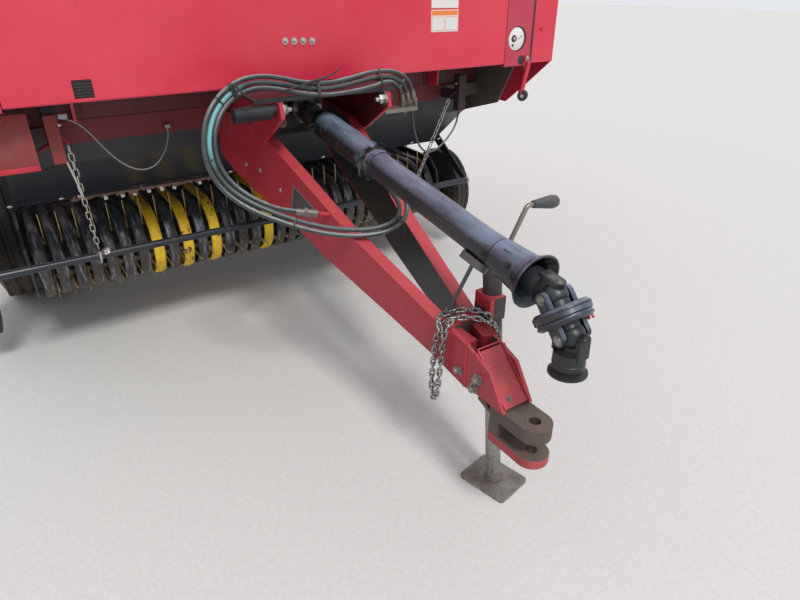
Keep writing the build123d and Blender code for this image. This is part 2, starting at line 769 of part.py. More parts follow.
floor_radius = 100
starter_radius = 108
belt_roller = 58
roller_wall = 8
floor_roller = round_bale(232, floor_radius + 4)
starter_roller = round_bale(209, starter_radius + 4)
front_return = [round_bale(197, belt_roller + 10), (-395, 1400), (-340, 2280), (80, 2560), (450, 2360)]
roller_half = chamber_half - seat
with BuildPart() as front_rollers:
    cross_bar(roller_half, *floor_roller, floor_radius, floor_radius - roller_wall)
    cross_bar(roller_half, *starter_roller, starter_radius, starter_radius - roller_wall)
    for y, z in front_return:
        cross_bar(roller_half, y, z, belt_roller, belt_roller - roller_wall)
write(front_rollers, "front_rollers")

# Belts: six side by side, each a closed loop round its rollers

belt_count = 6
belt_width = 178
belt_pitch = 2 * chamber_half / belt_count
belt_sheet = 7


def belt_loop(rollers):
    """Six belts, each the outline round the rollers less the same outline a belt's thickness in."""
    hulls = []
    for grow in (belt_sheet + seat, seat):
        with BuildSketch(Plane.YZ) as hull:
            for y, z in rollers:
                with Locations((y, z)):
                    Circle(belt_roller + grow)
            make_hull()
        hulls.append(hull.sketch)
    for n in range(belt_count):
        low = (n - belt_count / 2) * belt_pitch + (belt_pitch - belt_width) / 2
        extrude(Location((low, 0, 0)) * hulls[0], amount=belt_width)
        extrude(Location((low, 0, 0)) * hulls[1], amount=belt_width, mode=Mode.SUBTRACT)


with BuildPart() as front_belts:
    belt_loop(front_return)
write(front_belts, "front_belts")

# Pickup: end plates and lift arms on two carriers, bands round the reel, floor to the chamber

carrier_rear = carrier_y + carrier
band_top = reel_z + band_radius
band_bottom = reel_z - band_radius
inner_band = band_radius - band_sheet
carrier_z = [band_top - band_sheet - carrier, band_bottom + band_sheet]
plate_outline = [
    (-238, 440), (-215, 560), (-140, 630), (carrier_rear, 640), (carrier_rear, 250), (-60, 250),
    (-170, 290), (-225, 360),
]
lift_arm = 14
back_sheet = 6               # sheet behind the reel, between the carriers
arm_near = outer_face + 6
with BuildPart() as pickup_frame:
    for side in (-1, 1):
        slab(*span(side, pickup_plate_x, pickup_plate_x + pickup_plate), plate_outline)
        bar((side * (pickup_plate_x - 1), reel_y, reel_z),
            (side * (pickup_plate_x + pickup_plate + 1), reel_y, reel_z),
            reel_shaft_radius + running_fit, mode=Mode.SUBTRACT)
        bar((side * (pickup_plate_x + pickup_plate), gauge_y, gauge_z),
            (side * (gauge_x + 40), gauge_y, gauge_z), gauge_axle_radius)
    for z in carrier_z:
        block((-pickup_plate_x, pickup_plate_x), (carrier_y, carrier_rear), (z, z + carrier))
    slab(-chamber_half + 12, chamber_half - 12,
         [(carrier_rear, band_top - band_sheet - 6),
          (floor_roller[0] - floor_radius - 12, band_top - band_sheet - 6),
          (floor_roller[0] - floor_radius - 12, band_top - band_sheet), (carrier_rear, band_top - band_sheet)])
    block((-pickup_plate_x, pickup_plate_x), (carrier_rear - back_sheet, carrier_rear),
          (carrier_z[1] + carrier, carrier_z[0]))
write(pickup_frame, "pickup_frame")
with BuildPart() as pickup_arms:
    for side in (-1, 1):
        slab(*span(side, arm_near, arm_near + lift_arm),
             [(carrier_rear, band_top - band_sheet - 7), (lift_y, lift_z + 44), (lift_y + 40, lift_z + 20),
              (lift_y + 40, lift_z - 30), (lift_y, lift_z - 50), (carrier_rear, carrier_z[1])])
        bar((side * (outer_face), lift_y, lift_z), (side * (outer_face + 40), lift_y, lift_z),
            lift_pin_radius + running_fit, mode=Mode.SUBTRACT)
write(pickup_arms, "pickup_arms")


def bands(wanted):
    """Stripper bands: each is a C round the front of the reel, open to the rear, seated on the carriers."""
    with BuildSketch(Plane.YZ) as band:
        with BuildLine():
            Line((carrier_rear, band_top), (reel_y, band_top))
            ThreePointArc((reel_y, band_top), (reel_y - band_radius, reel_z), (reel_y, band_bottom))
            Line((reel_y, band_bottom), (carrier_rear, band_bottom))
            Line((carrier_rear, band_bottom), (carrier_rear, band_bottom + band_sheet - seat))
            Line((carrier_rear, band_bottom + band_sheet - seat), (reel_y, band_bottom + band_sheet - seat))
            ThreePointArc((reel_y, band_bottom + band_sheet - seat), (reel_y - inner_band - seat, reel_z),
                          (reel_y, band_top - band_sheet + seat))
            Line((reel_y, band_top - band_sheet + seat), (carrier_rear, band_top - band_sheet + seat))
            Line((carrier_rear, band_top - band_sheet + seat), (carrier_rear, band_top))
        make_face()
    for n in wanted:
        x = (n - (band_count - 1) / 2) * band_pitch
        extrude(Location((x - band_width / 2, 0, 0)) * band.sketch, amount=band_width)


yellow = [7, 9, 11, 15]
with BuildPart() as pickup_bands:
    bands([n for n in range(band_count) if n not in yellow])
write(pickup_bands, "pickup_bands")
with BuildPart() as yellow_bands:
    bands(yellow)
write(yellow_bands, "yellow_bands")

# Reel: shaft, end discs and tine bars with a tine in every gap between the bands

tine_lean = 18
tine_length = sqrt(tine_reach**2 - (tine_bar_radius * sin(radians(tine_lean)))**2) - tine_bar_radius * cos(radians(tine_lean))
reel_half = pickup_plate_x - 14
with BuildPart() as tine_reel:
    cross_bar(pickup_plate_x + pickup_plate, reel_y, reel_z, reel_shaft_radius)
    for x in (-reel_half, -reel_half / 3, reel_half / 3, reel_half):
        edge = x + 8 if x < 0 else x - 8
        bar((x, reel_y, reel_z), (edge, reel_y, reel_z), tine_bar_radius + 14)
    for n in range(tine_bars):
        angle = 25 + 360 * n / tine_bars
        a = radians(angle)
        bar_plane = Plane(origin=(0, reel_y + tine_bar_radius * cos(a), reel_z + tine_bar_radius * sin(a)),
                          x_dir=(1, 0, 0),
                          z_dir=(0, -sin(radians(angle - tine_lean)), cos(radians(angle - tine_lean))))
        with BuildSketch(bar_plane) as comb:
            Rectangle(2 * reel_half, tine_bar)
            with GridLocations(band_pitch, 0, band_count - 1, 1):
                Rectangle(tine_wire, tine_length, align=(Align.CENTER, Align.MIN))
        extrude(comb.sketch, amount=tine_wire / 2, both=True)
        with BuildSketch(bar_plane) as spine:
            Rectangle(2 * reel_half, tine_bar)
        extrude(spine.sketch, amount=tine_bar / 2, both=True)
write(tine_reel, "tine_reel")

# Gauge wheels at the pickup's ends

gauge_bead = 98
for side, word in SIDES:
    plane = wheel_plane(side, gauge_x, gauge_y, gauge_z)
    with BuildPart() as gauge_wheel:
        turn(plane, tyre_outline(gauge_radius, gauge_width, gauge_bead, gauge_width / 2 - 14, 7, 2))
        turn(plane, [(gauge_axle_radius + running_fit, -34), (30, -34), (30, -6), (gauge_bead, -6),
                     (gauge_bead, 6),
                     (30, 6), (30, 34), (gauge_axle_radius + running_fit, 34)])
    write(gauge_wheel, f"gauge_wheel_{word}")

# Hangers: a bracket on the cross beam at each side with a chain down to the wind guard's tube

hang_wire = 7
hang_pitch = 40
hang_high = Vector(840, -600, 1043)
hang_low = Vector(806, guard_y - 8, guard_z + guard_radius + 16)


def chain_link(middle, along, roll, pitch, wire):
    """One link of a chain: a long eye of square wire, turned about its length by roll degrees."""
    axis = Vector(*along).normalized()
    flat = Vector(1, 0, 0) if abs(axis.X) < 0.8 else Vector(0, 0, 1)
    normal = axis.cross(flat).normalized().rotate(Axis((0, 0, 0), axis), roll)
    reach, wide = pitch / 2 - link_gap, 0.62 * pitch
    eye = Plane(origin=middle, x_dir=axis, z_dir=normal)
    with BuildSketch(eye) as loop:
        Rectangle(2 * (reach + wire), wide)
        chamfer(loop.vertices(), wide * 0.28)
        Rectangle(2 * reach, wide - 2 * wire, mode=Mode.SUBTRACT)
    extrude(loop.sketch, amount=wire / 2, both=True)


def chain(start, end, pitch, wire):
    """Links along a straight run, each a quarter turn from the last."""
    run = Vector(*end) - Vector(*start)
    count = round(run.length / pitch)
    for n in range(count):
        chain_link(Vector(*start) + run * ((n + 0.5) / count), run, 45 + 90 * (n % 2), run.length / count, wire)


link_gap = 0.2
hang_axis = (hang_low - hang_high).normalized()
stem_gap = hang_wire - link_gap + seat
stem_length = 12
with BuildPart() as chain_brackets:
    for side in (-1, 1):
        block(span(side, 859, 899), (-650, -610), (993, 1155))
        block(span(side, 863, 895), (-610, beam_y - seat), (1040, 1080))
        stem = hang_high - hang_axis * stem_gap
        neck = stem - hang_axis * stem_length
        bar((side * stem.X, stem.Y, stem.Z), (side * neck.X, neck.Y, neck.Z), 6)
        bar((side * neck.X, neck.Y, neck.Z - 2), (side * 864, -630, 1085), 6)
write(chain_brackets, "chain_brackets")

with BuildPart() as hanger_chains:
    for side in (-1, 1):
        chain((side * hang_high.X, hang_high.Y, hang_high.Z), (side * hang_low.X, hang_low.Y, hang_low.Z),
              hang_pitch, hang_wire)
write(hanger_chains, "hanger_chains")

# Wind guard: a tube across the front on two arms, with a stud for each chain

arm_x_low = guard_half - guard_arm
with BuildPart() as wind_guard:
    cross_bar(guard_half, guard_y, guard_z, guard_radius)
    stud = hang_low + hang_axis * stem_gap
    for side in (-1, 1):
        foot = stud + hang_axis * 8
        bar((side * stud.X, stud.Y, stud.Z), (side * foot.X, foot.Y, foot.Z), 7)
        bar((side * foot.X, foot.Y, foot.Z + 3), (side * foot.X, guard_y, guard_z), 6)
        slab(*span(side, arm_x_low, guard_half),
             [(guard_y - 20, guard_z - 6), (guard_y + 22, guard_z - 18),
              (guard_pivot_y + 24, guard_pivot_z - 20),
              (guard_pivot_y + 24, guard_pivot_z + 24), (guard_pivot_y - 24, guard_pivot_z + 24)])
        bar((side * (arm_x_low - 1), guard_pivot_y, guard_pivot_z),
            (side * (guard_half + 1), guard_pivot_y, guard_pivot_z),
            guard_pin_radius + running_fit, mode=Mode.SUBTRACT)
write(wind_guard, "wind_guard")

# Skirts beside the pickup, with the wind guard's pivots, on outriggers from the cross beam

skirt_x = 1096
skirt_sheet = 5
skirt_outline = [
    (-758, 1190), (-665, 1013), (-252, 895), (40, 720), (100, 720), (180, 1000), (240, 1130), (240, 1380),
    (-700, 1380),
    (-758, 1330),
]
with BuildPart() as skirts:
    for side in (-1, 1):
        slab(*span(side, skirt_x, skirt_x + skirt_sheet), skirt_outline)
        bar((side * skirt_x, guard_pivot_y, guard_pivot_z),
            (side * (guard_half + 12), guard_pivot_y, guard_pivot_z),
            guard_pin_radius)
        block(span(side, frame_outer + seat, skirt_x), (beam_y, beam_y + 60), (1030, 1090))
write(skirts, "skirts")

# Box low on the right, beside the hanger bracket

with BuildPart() as twine_box:
    block((-skirt_x + seat, -945), (-700, beam_y - 8), (991, 1176))
    block((-skirt_x + seat + 5, -950), (-695, beam_y - 13), (996, 1171), mode=Mode.SUBTRACT)
write(twine_box, "twine_box")

# Tailgate: sheets with hinge arms and ribs, cross members, rollers, belts, lamps

gate_outline = [
    (gate_y + 78, gate_z - 60), (gate_y + 78, gate_z + 30), (1350, 2705), (1800, 2520), (2120, 2150),
    (2200, 1600),
    (2140, 1120), (1900, 780), (1560, 575), (1040, 575), (split_low_y + gate_gap, 720),
    (split_low_y + gate_gap, bale_z),
    (gate_y + 60 + gate_gap, 2300), (gate_y + 30 + gate_gap, gate_z - 120),
]
gate_ribs = [  # foot y, foot z, head y, head z
    (1330, 650, 1330, 2640), (1760, 780, 1700, 2500),
]
arm_gap = 6
with BuildPart() as tailgate_sides:
    for side in (-1, 1):
        slab(*span(side, chamber_half, outer_face), gate_outline)
        slab(*span(side, outer_face + arm_gap, outer_face + arm_gap + 14),
             [(gate_y - 44, gate_z + 10), (gate_y - 20, gate_z + 44), (gate_y + 30, gate_z + 46),
              (1240, 2600), (1240, 2480),
              (gate_y + 10, gate_z - 46), (gate_y - 30, gate_z - 36)])
        slab(*span(side, outer_face, outer_face + arm_gap),
             [(900, 2640), (1240, 2600), (1240, 2480), (900, 2580)])
        bar((side * (outer_face + arm_gap - 1), gate_y, gate_z),
            (side * (outer_face + arm_gap + 15), gate_y, gate_z),
            gate_pin_radius + running_fit, mode=Mode.SUBTRACT)
        for foot_a, foot_b, head_a, head_b in gate_ribs:
            slab(*span(side, outer_face, outer_face + rib_depth),
                 [(foot_a, foot_b), (foot_a + 50, foot_b), (head_a + 50, head_b), (head_a, head_b)])
        bar((side * outer_face, *cylinder_head), (side * (cylinder_x - eye_half - 1), *cylinder_head),
            cylinder_boss)
write(tailgate_sides, "tailgate_sides")

rear_return = [(1440, 665), (2020, 1200), (2080, 1700), (1620, 2420), (900, 2560)]
with BuildPart() as tailgate_frame:
    for y, z, depth, height in [(2190, 1420, 50, 110), (1590, 628, 60, 30), (1250, 2640, 80, 50)]:
        block((-roller_half, roller_half), (y - depth / 2, y + depth / 2), (z - height / 2, z + height / 2))
write(tailgate_frame, "tailgate_frame")
with BuildPart() as tailgate_rollers:
    for y, z in rear_return:
        cross_bar(roller_half, y, z, belt_roller, belt_roller - roller_wall)
write(tailgate_rollers, "tailgate_rollers")
with BuildPart() as tailgate_belts:
    belt_loop(rear_return)
write(tailgate_belts, "tailgate_belts")
with BuildPart() as rear_lamps:
    for side in (-1, 1):
        block(span(side, 560, 760), (2215 + seat, 2246), (1375, 1465))
write(rear_lamps, "rear_lamps")

# Tailgate cylinders: barrel on the front body, rod on the tailgate

stroke_line = Vector(0, cylinder_head[0] - cylinder_foot[0], cylinder_head[1] - cylinder_foot[1])
stroke_axis = stroke_line.normalized()
for side, word in SIDES:
    base = Vector(side * cylinder_x, *cylinder_foot)
    top = Vector(side * cylinder_x, *cylinder_head)
    eye = span(side, cylinder_x - eye_half, cylinder_x + eye_half)
    with BuildPart() as cylinder_barrel:
        bar(base + stroke_axis * 20, base + stroke_axis * barrel_length, barrel_radius)
        bar((eye[0], base.Y, base.Z), (eye[1], base.Y, base.Z), eye_radius)
        bar(base + stroke_axis * 70, base + stroke_axis * (barrel_length + 1), rod_radius + 0.5,
            mode=Mode.SUBTRACT)
        bar((eye[0] - 1, base.Y, base.Z), (eye[1] + 1, base.Y, base.Z), cylinder_pin_radius + running_fit,
            mode=Mode.SUBTRACT)
    write(cylinder_barrel, f"cylinder_barrel_{word}")
    with BuildPart() as cylinder_rod:
        bar(base + stroke_axis * 90, top - stroke_axis * 20, rod_radius)
        bar((eye[0], top.Y, top.Z), (eye[1], top.Y, top.Z), eye_radius)
        bar((side * cylinder_x, top.Y, top.Z), (side * (cylinder_x + eye_half + 14), top.Y, top.Z),
            cylinder_pin_radius)
    write(cylinder_rod, f"cylinder_rod_{word}")

# Power shaft: rear joint, telescoping guard with its bell, wide-angle joint and tractor yoke

middle_angle = shaft_drop + knuckle_bend
yoke_angle = middle_angle + knuckle_bend


first_cross = Vector(*shaft_point(first_cross_along))
second_cross = first_cross + dropped(middle_angle) * knuckle_span
ring_middle = (first_cross + second_cross) * 0.5
yoke_end = second_cross + dropped(yoke_angle) * yoke_length


with BuildPart() as rear_guard:
    bar(rear_cross + shaft_axis * rear_guard_start,
        rear_cross + shaft_axis * (rear_guard_start + rear_guard_length),
        rear_guard_radius, rear_guard_radius - guard_wall)
    for along in (rear_guard_start + 12, rear_guard_start + rear_guard_length - 40):
        bar(rear_cross + shaft_axis * along, rear_cross + shaft_axis * (along + bearing_width),
            rear_guard_radius - 1,
            outer_tube + seat)
write(rear_guard, "rear_guard")
with BuildPart() as rear_shaft:
    fork(rear_cross, shaft_axis, inner_arm, False, outer_tube, outer_tube_end)
    cross_pins(rear_cross, shaft_axis, inner_arm)
    bar(rear_cross + shaft_axis * (inner_bar_start - 10), rear_cross + shaft_axis * (outer_tube_end + 1),
        inner_bar + slide_fit,
        mode=Mode.SUBTRACT)
write(rear_shaft, "rear_shaft")

with BuildPart() as front_guard:
    bar(rear_cross + shaft_axis * guard_lap, rear_cross + shaft_axis * bell_start, front_guard_radius,
        front_guard_radius - guard_wall)
    for along in (shaft_end - 320, bell_start - bearing_width):
        bar(rear_cross + shaft_axis * along, rear_cross + shaft_axis * (along + bearing_width),
            front_guard_radius - 1,
            inner_bar + seat)
write(front_guard, "front_guard")


def turned(foot, axis, profile):
    """A solid of revolution from (radius, distance along the axis) points."""
    with BuildSketch(Plane(origin=foot, x_dir=(1, 0, 0), z_dir=Vector(1, 0, 0).cross(axis))) as section:
        with BuildLine():
            Polyline(*profile, close=True)
        make_face()
    revolve(section.sketch, axis=Axis(tuple(foot), tuple(axis)))


with BuildPart() as guard_bell:
    turned(rear_cross, shaft_axis,
           [(front_guard_radius - guard_wall, bell_start + seat), (front_guard_radius, bell_start + seat),
            (front_guard_radius + 4, bell_start + 4), (bell_neck, shaft_end - 42),
            (bell_neck + 6, shaft_end - 24),
            (bell_radius, shaft_end - 4), (bell_radius, shaft_end), (bell_radius - guard_wall, shaft_end),
            (bell_neck, shaft_end - 22), (bell_neck - guard_wall, shaft_end - 40),
            (front_guard_radius + 4 - guard_wall, bell_start + 6),
            (front_guard_radius - guard_wall, bell_start + 2)])
write(guard_bell, "guard_bell")

with BuildPart() as front_shaft:
    fork(first_cross, -shaft_axis, outer_arm, False, 38, 84)
    bar(rear_cross + shaft_axis * inner_bar_start, first_cross - shaft_axis * 80, inner_bar)
    cross_pins(first_cross, shaft_axis, outer_arm)
write(front_shaft, "front_shaft")


middle_axis = dropped(middle_angle)
with BuildPart() as joint_ring:
    for cross, way in ((first_cross, 1), (second_cross, -1)):
        cheeks(cross, middle_axis * way, cross_arm, True)
    bar(ring_middle - middle_axis * ring_web, ring_middle + middle_axis * ring_web, ring_bore + 2)
    turned(ring_middle, middle_axis,
           [(ring_bore, -ring_half), (ring_radius - 7, -ring_half), (ring_radius, -ring_half + 7),
            (ring_radius, 3),
            (ring_radius - 5, 6), (ring_radius - 5, 10), (ring_radius - 2, 12), (ring_radius - 3, 17),
            (ring_radius - 9, ring_half), (ring_bore, ring_half)])
    for cross in (first_cross, second_cross):
        pin_bores(cross)
write(joint_ring, "joint_ring")

yoke_axis = dropped(yoke_angle)
with BuildPart() as tractor_yoke:
    cheeks(second_cross, yoke_axis, outer_arm, False)
    turned(second_cross, yoke_axis,
           [(0, hub_start), (yoke_hub, hub_start), (yoke_hub, 86), (yoke_hub - 5, 92), (yoke_hub - 5, 97),
            (collar_radius, 101),
            (collar_radius, 106), (yoke_hub, 109), (29, 110), (29, yoke_length), (0, yoke_length)])
    bar(yoke_end - yoke_axis * 70, yoke_end + yoke_axis, spline_radius, mode=Mode.SUBTRACT)
    cross_pins(second_cross, yoke_axis, outer_arm)
write(tractor_yoke, "tractor_yoke")

# Hoses: three hang in a loop over the right arm, a thin one and a wire droop under the hood


def cord(route, radius, name):
    """A round hose or wire along straight runs joined by tangent arcs; prints its bend radii and its length."""
    points = [Vector(*point) for point in route]
    runs = [(b - a).length for a, b in zip(points, points[1:])]
    bends = []
    for n in range(1, len(points) - 1):
        corner = radians((points[n] - points[n - 1]).get_angle(points[n + 1] - points[n]))
        bends.append(bend_share * min(runs[n - 1], runs[n]) / tan(corner / 2))
    with BuildPart() as piece:
        with BuildLine() as path:
            FilletPolyline(*route, radius=bends)
        with BuildSketch(Plane(origin=path.line @ 0, z_dir=path.line % 0)) as section:
            Circle(radius)
        sweep(section.sketch, path=path.line)
    length = sum(edge.length for edge in path.line.edges())
    ratio = piece.part.volume / (length * 3.14159 * radius**2)
    print(f"{name}: length {length:.0f}, volume ratio {ratio:.4f}, radii", [round(bend) for bend in bends])
    write(piece, name)


bend_share = 0.45
hose_outer_route = [
    (362, -984, 1146), (350, -988, 1189), (320, -992, 1226), (276, -996, 1248), (220, -999, 1257),
    (150, -1000, 1255),
    (72, -1001, 1241),
    (-18, -1001, 1231), (-108, -1001, 1240), (-190, -1006, 1262), (-258, -1013, 1275), (-325, -1023, 1274),
    (-385, -1037, 1256), (-436, -1052, 1224), (-475, -1066, 1181), (-500, -1080, 1130), (-511, -1093, 1075),
    (-506, -1107, 1018), (-486, -1124, 966), (-452, -1149, 924), (-408, -1181, 890), (-352, -1223, 860),
    (-286, -1273, 833), (-215, -1323, 812), (-140, -1368, 803), (-70, -1396, 803), (-12, -1408, 810),
    (36, -1404, 830), (66, -1385, 862), (76, -1350, 898), (74, -1298, 928), (68, -1230, 948), (62, -1150, 962),
    (56, -1060, 976), (53, -970, 1000), (51, -892, 1030), (50, -822, 1045), (50, -762, 1045),
]
hose_middle_route = [
    (340, -980, 1142), (329, -984, 1180), (302, -989, 1211), (262, -993, 1230), (210, -997, 1237),
    (150, -999, 1234),
    (74, -1001, 1222),
    (-18, -1000, 1212), (-111, -1000, 1222), (-194, -1005, 1244), (-259, -1012, 1256), (-322, -1021, 1256),
    (-377, -1035, 1239), (-423, -1049, 1210), (-459, -1063, 1171), (-482, -1076, 1124), (-492, -1089, 1074),
    (-488, -1103, 1022), (-469, -1119, 975), (-438, -1143, 937), (-396, -1173, 905), (-342, -1214, 876),
    (-277, -1264, 849), (-208, -1313, 829), (-136, -1358, 821), (-72, -1386, 820), (-20, -1397, 828),
    (22, -1391, 843), (50, -1364, 864), (60, -1318, 888), (55, -1262, 914), (47, -1200, 934), (40, -1130, 950),
    (34, -1045, 964), (30, -960, 990), (27, -885, 1017), (25, -820, 1030), (25, -762, 1030),
]
hose_inner_route = [
    (318, -976, 1134), (308, -981, 1171), (284, -990, 1199), (246, -1006, 1217), (205, -1016, 1219),
    (162, -1018, 1208),
    (76, -1018, 1198), (-18, -1018, 1193), (-114, -1016, 1204), (-198, -1011, 1226), (-260, -1010, 1238),
    (-318, -1020, 1237),
    (-368, -1033, 1221), (-411, -1047, 1195), (-443, -1060, 1160), (-464, -1073, 1118), (-473, -1085, 1073),
    (-469, -1098, 1027), (-453, -1114, 985), (-425, -1136, 948), (-385, -1162, 915), (-338, -1184, 888),
    (-290, -1198, 870), (-242, -1207, 859),
]
thin_hose_route = [
    (330, -935, 1140), (333, -933, 1172), (352, -922, 1200), (386, -900, 1208), (418, -878, 1190),
    (440, -860, 1150),
    (453, -845, 1100), (468, -825, 1040), (492, -800, 980), (532, -770, 915), (585, -735, 860),
    (650, -700, 830),
    (720, -675, 832), (785, -655, 862),
    (838, -641, 900), (870, -633, 945), (879, -630, 993),
]
wire_route = [
    (-859, -630, 1141), (-830, -630, 1137), (-796, -626, 1117), (-765, -620, 1080), (-738, -611, 1033),
    (-706, -601, 985),
    (-665, -590, 940), (-615, -578, 912), (-562, -562, 914), (-520, -545, 945), (-492, -528, 986),
    (-478, -517, 1020),
    (-477, -513, 1044),
]
cord(hose_outer_route, hose_radius, "hose_outer")
cord(hose_middle_route, hose_radius, "hose_middle")
cord(hose_inner_route, hose_radius, "hose_inner")
cord(thin_hose_route, thin_radius, "thin_hose")
cord(wire_route, wire_radius, "sensor_wire")


def fitting(near, end, length, radius):
    """A fitting in line with a hose's end; near is the point before the end. Gives its far end."""
    way = (Vector(*end) - Vector(*near)).normalized()
    bar(Vector(*end), Vector(*end) + way * length, radius)
    return Vector(*end) + way * length


fitting_plate = (1100, 1115)
gearbox_face_y = beam_y - seat - gearbox_depth
with BuildPart() as hose_fittings:
    block((bracket_outer + seat, 372), (-1000, -912), fitting_plate)
    for route in (hose_outer_route, hose_middle_route, hose_inner_route):
        fitting(route[1], route[0], fitting_length, fitting_radius - 4)
    fitting(thin_hose_route[1], thin_hose_route[0], 36, 7)
    for route in (hose_outer_route, hose_middle_route):
        fitting(route[-2], route[-1], gearbox_face_y - seat - route[-1][1], 10)
    fitting(hose_inner_route[-2], hose_inner_route[-1], coupler_length, 13)
    block((-487, -467), (-521, beam_y - seat), (1044, 1058))
    bar((-140, -1223, 834), peg_end, 8 + seat, mode=Mode.SUBTRACT)
write(hose_fittings, "hose_fittings")

# Safety chain, draped over the nose with a loop down its right side

safety_route = [
    (70, -1868, 552), (70, -1868, 604), (62, -1862, 640), (34, -1850, 654), (4, -1826, 664), (-32, -1798, 664),
    (-66, -1786, 660), (-90, -1776, 630), (-93, -1762, 520), (-93, -1757, 405), (-93, -1772, 372),
    (-93, -1788, 405),
    (-93, -1800, 520), (-92, -1808, 640), (-64, -1812, 682),
]
chain_pitch = 30
chain_wire = 6
with BuildPart() as safety_chain:
    for start, end in zip(safety_route, safety_route[1:]):
        chain(start, end, chain_pitch, chain_wire)
write(safety_chain, "safety_chain")
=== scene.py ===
import bpy, bmesh, random
from math import radians, sin, cos, pi
from mathutils import Vector, Matrix


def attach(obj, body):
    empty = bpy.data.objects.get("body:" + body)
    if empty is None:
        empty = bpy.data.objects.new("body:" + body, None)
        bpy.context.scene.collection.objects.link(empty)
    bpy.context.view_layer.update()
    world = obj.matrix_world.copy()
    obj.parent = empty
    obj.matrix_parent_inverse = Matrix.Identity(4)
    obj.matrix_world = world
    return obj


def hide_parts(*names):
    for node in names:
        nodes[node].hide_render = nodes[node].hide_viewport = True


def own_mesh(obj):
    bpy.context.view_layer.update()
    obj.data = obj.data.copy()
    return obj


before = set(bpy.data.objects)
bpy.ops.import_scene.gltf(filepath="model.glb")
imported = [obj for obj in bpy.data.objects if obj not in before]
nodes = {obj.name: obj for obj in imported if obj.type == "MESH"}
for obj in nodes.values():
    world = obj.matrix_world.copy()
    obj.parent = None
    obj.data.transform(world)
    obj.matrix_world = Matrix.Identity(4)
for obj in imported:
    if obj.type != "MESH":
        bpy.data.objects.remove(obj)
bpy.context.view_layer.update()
print("frame loaded,", len(nodes), "nodes")

# camera, floor and light

view = {"place": (-1.035, -3.0, 1.55), "turn": (62, 0, -33.5), "lens": 27}
camera = bpy.data.objects.new("camera", bpy.data.cameras.new("camera"))
camera.location = view["place"]
camera.rotation_euler = [radians(a) for a in view["turn"]]
camera.data.lens = view["lens"]
camera.data.sensor_width = 36
camera.data.clip_end = 200
bpy.context.scene.collection.objects.link(camera)
bpy.context.scene.camera = camera
bpy.context.scene.view_settings.view_transform = "Standard"

light = {"skyStrength": 0.85, "sun": 2.0, "sunAngle": 12, "sunTurn": (38, 8, -20),
         "skyColor": (0.93, 0.95, 1.0, 1)}
world = bpy.data.worlds.new("studio")
bpy.context.scene.world = world
world.use_nodes = True
background = world.node_tree.nodes["Background"]
background.inputs["Color"].default_value = light["skyColor"]
background.inputs["Strength"].default_value = light["skyStrength"]
sun = bpy.data.objects.new("sun", bpy.data.lights.new("sun", "SUN"))
sun.data.energy = light["sun"]
sun.data.angle = radians(light["sunAngle"])
sun.rotation_euler = [radians(a) for a in light["sunTurn"]]
bpy.context.scene.collection.objects.link(sun)

# node helpers


def addNode(tree, kind, inputs=None, **props):
    made = tree.nodes.new(kind)
    for key, value in props.items():
        setattr(made, key, value)
    for key, value in (inputs or {}).items():
        if isinstance(value, bpy.types.NodeSocket):
            tree.links.new(value, made.inputs[key])
        else:
            made.inputs[key].default_value = value
    return made


def mathNode(tree, op, a, b=0.0, clamp=False):
    return addNode(tree, "ShaderNodeMath", {0: a, 1: b}, operation=op, use_clamp=clamp).outputs[0]


def mixColor(tree, factor, a, b):
    # a mix node has its two colours on inputs 6 and 7, and the result on output 2
    a, b = (v if isinstance(v, bpy.types.NodeSocket) else (*v[:3], 1) for v in (a, b))
    return addNode(tree, "ShaderNodeMix", {0: factor, 6: a, 7: b}, data_type="RGBA").outputs[2]


def stretch(tree, value, low, high, toLow=0.0, toHigh=1.0):
    ends = {"From Min": low, "From Max": high, "To Min": toLow, "To Max": toHigh}
    return addNode(tree, "ShaderNodeMapRange", {**ends, "Value": value}, clamp=True).outputs["Result"]


def noise(tree, place, scale, detail=4, roughness=0.55, distort=0.0):
    grain = {"Scale": scale, "Detail": detail, "Roughness": roughness, "Distortion": distort}
    return addNode(tree, "ShaderNodeTexNoise", {**grain, "Vector": place}).outputs["Fac"]


def objectPlace(tree, output="Object"):
    return addNode(tree, "ShaderNodeTexCoord").outputs[output]


def upward(tree):
    return addNode(tree, "ShaderNodeSeparateXYZ",
                   {0: addNode(tree, "ShaderNodeNewGeometry").outputs["Normal"]}).outputs[2]


def drawnNoise(tree, scale):
    drawn = addNode(tree, "ShaderNodeMapping", {"Vector": objectPlace(tree), "Scale": scale})
    return noise(tree, drawn.outputs[0], 1.0, 5, 0.7)


def newGroup(name, inputs, outputs):
    g = bpy.data.node_groups.new(name, "ShaderNodeTree")
    for n, kind, default in inputs:
        s = g.interface.new_socket(n, in_out="INPUT", socket_type=kind)
        if default is not None:
            s.default_value = default
    for n, kind in outputs:
        g.interface.new_socket(n, in_out="OUTPUT", socket_type=kind)
    return g, g.nodes.new("NodeGroupInput"), g.nodes.new("NodeGroupOutput")


floatSocket, colorSocket, vectorSocket = "NodeSocketFloat", "NodeSocketColor", "NodeSocketVector"

# field wear: paint that fades, gathers dust on what faces up, mud low down, chips to rust


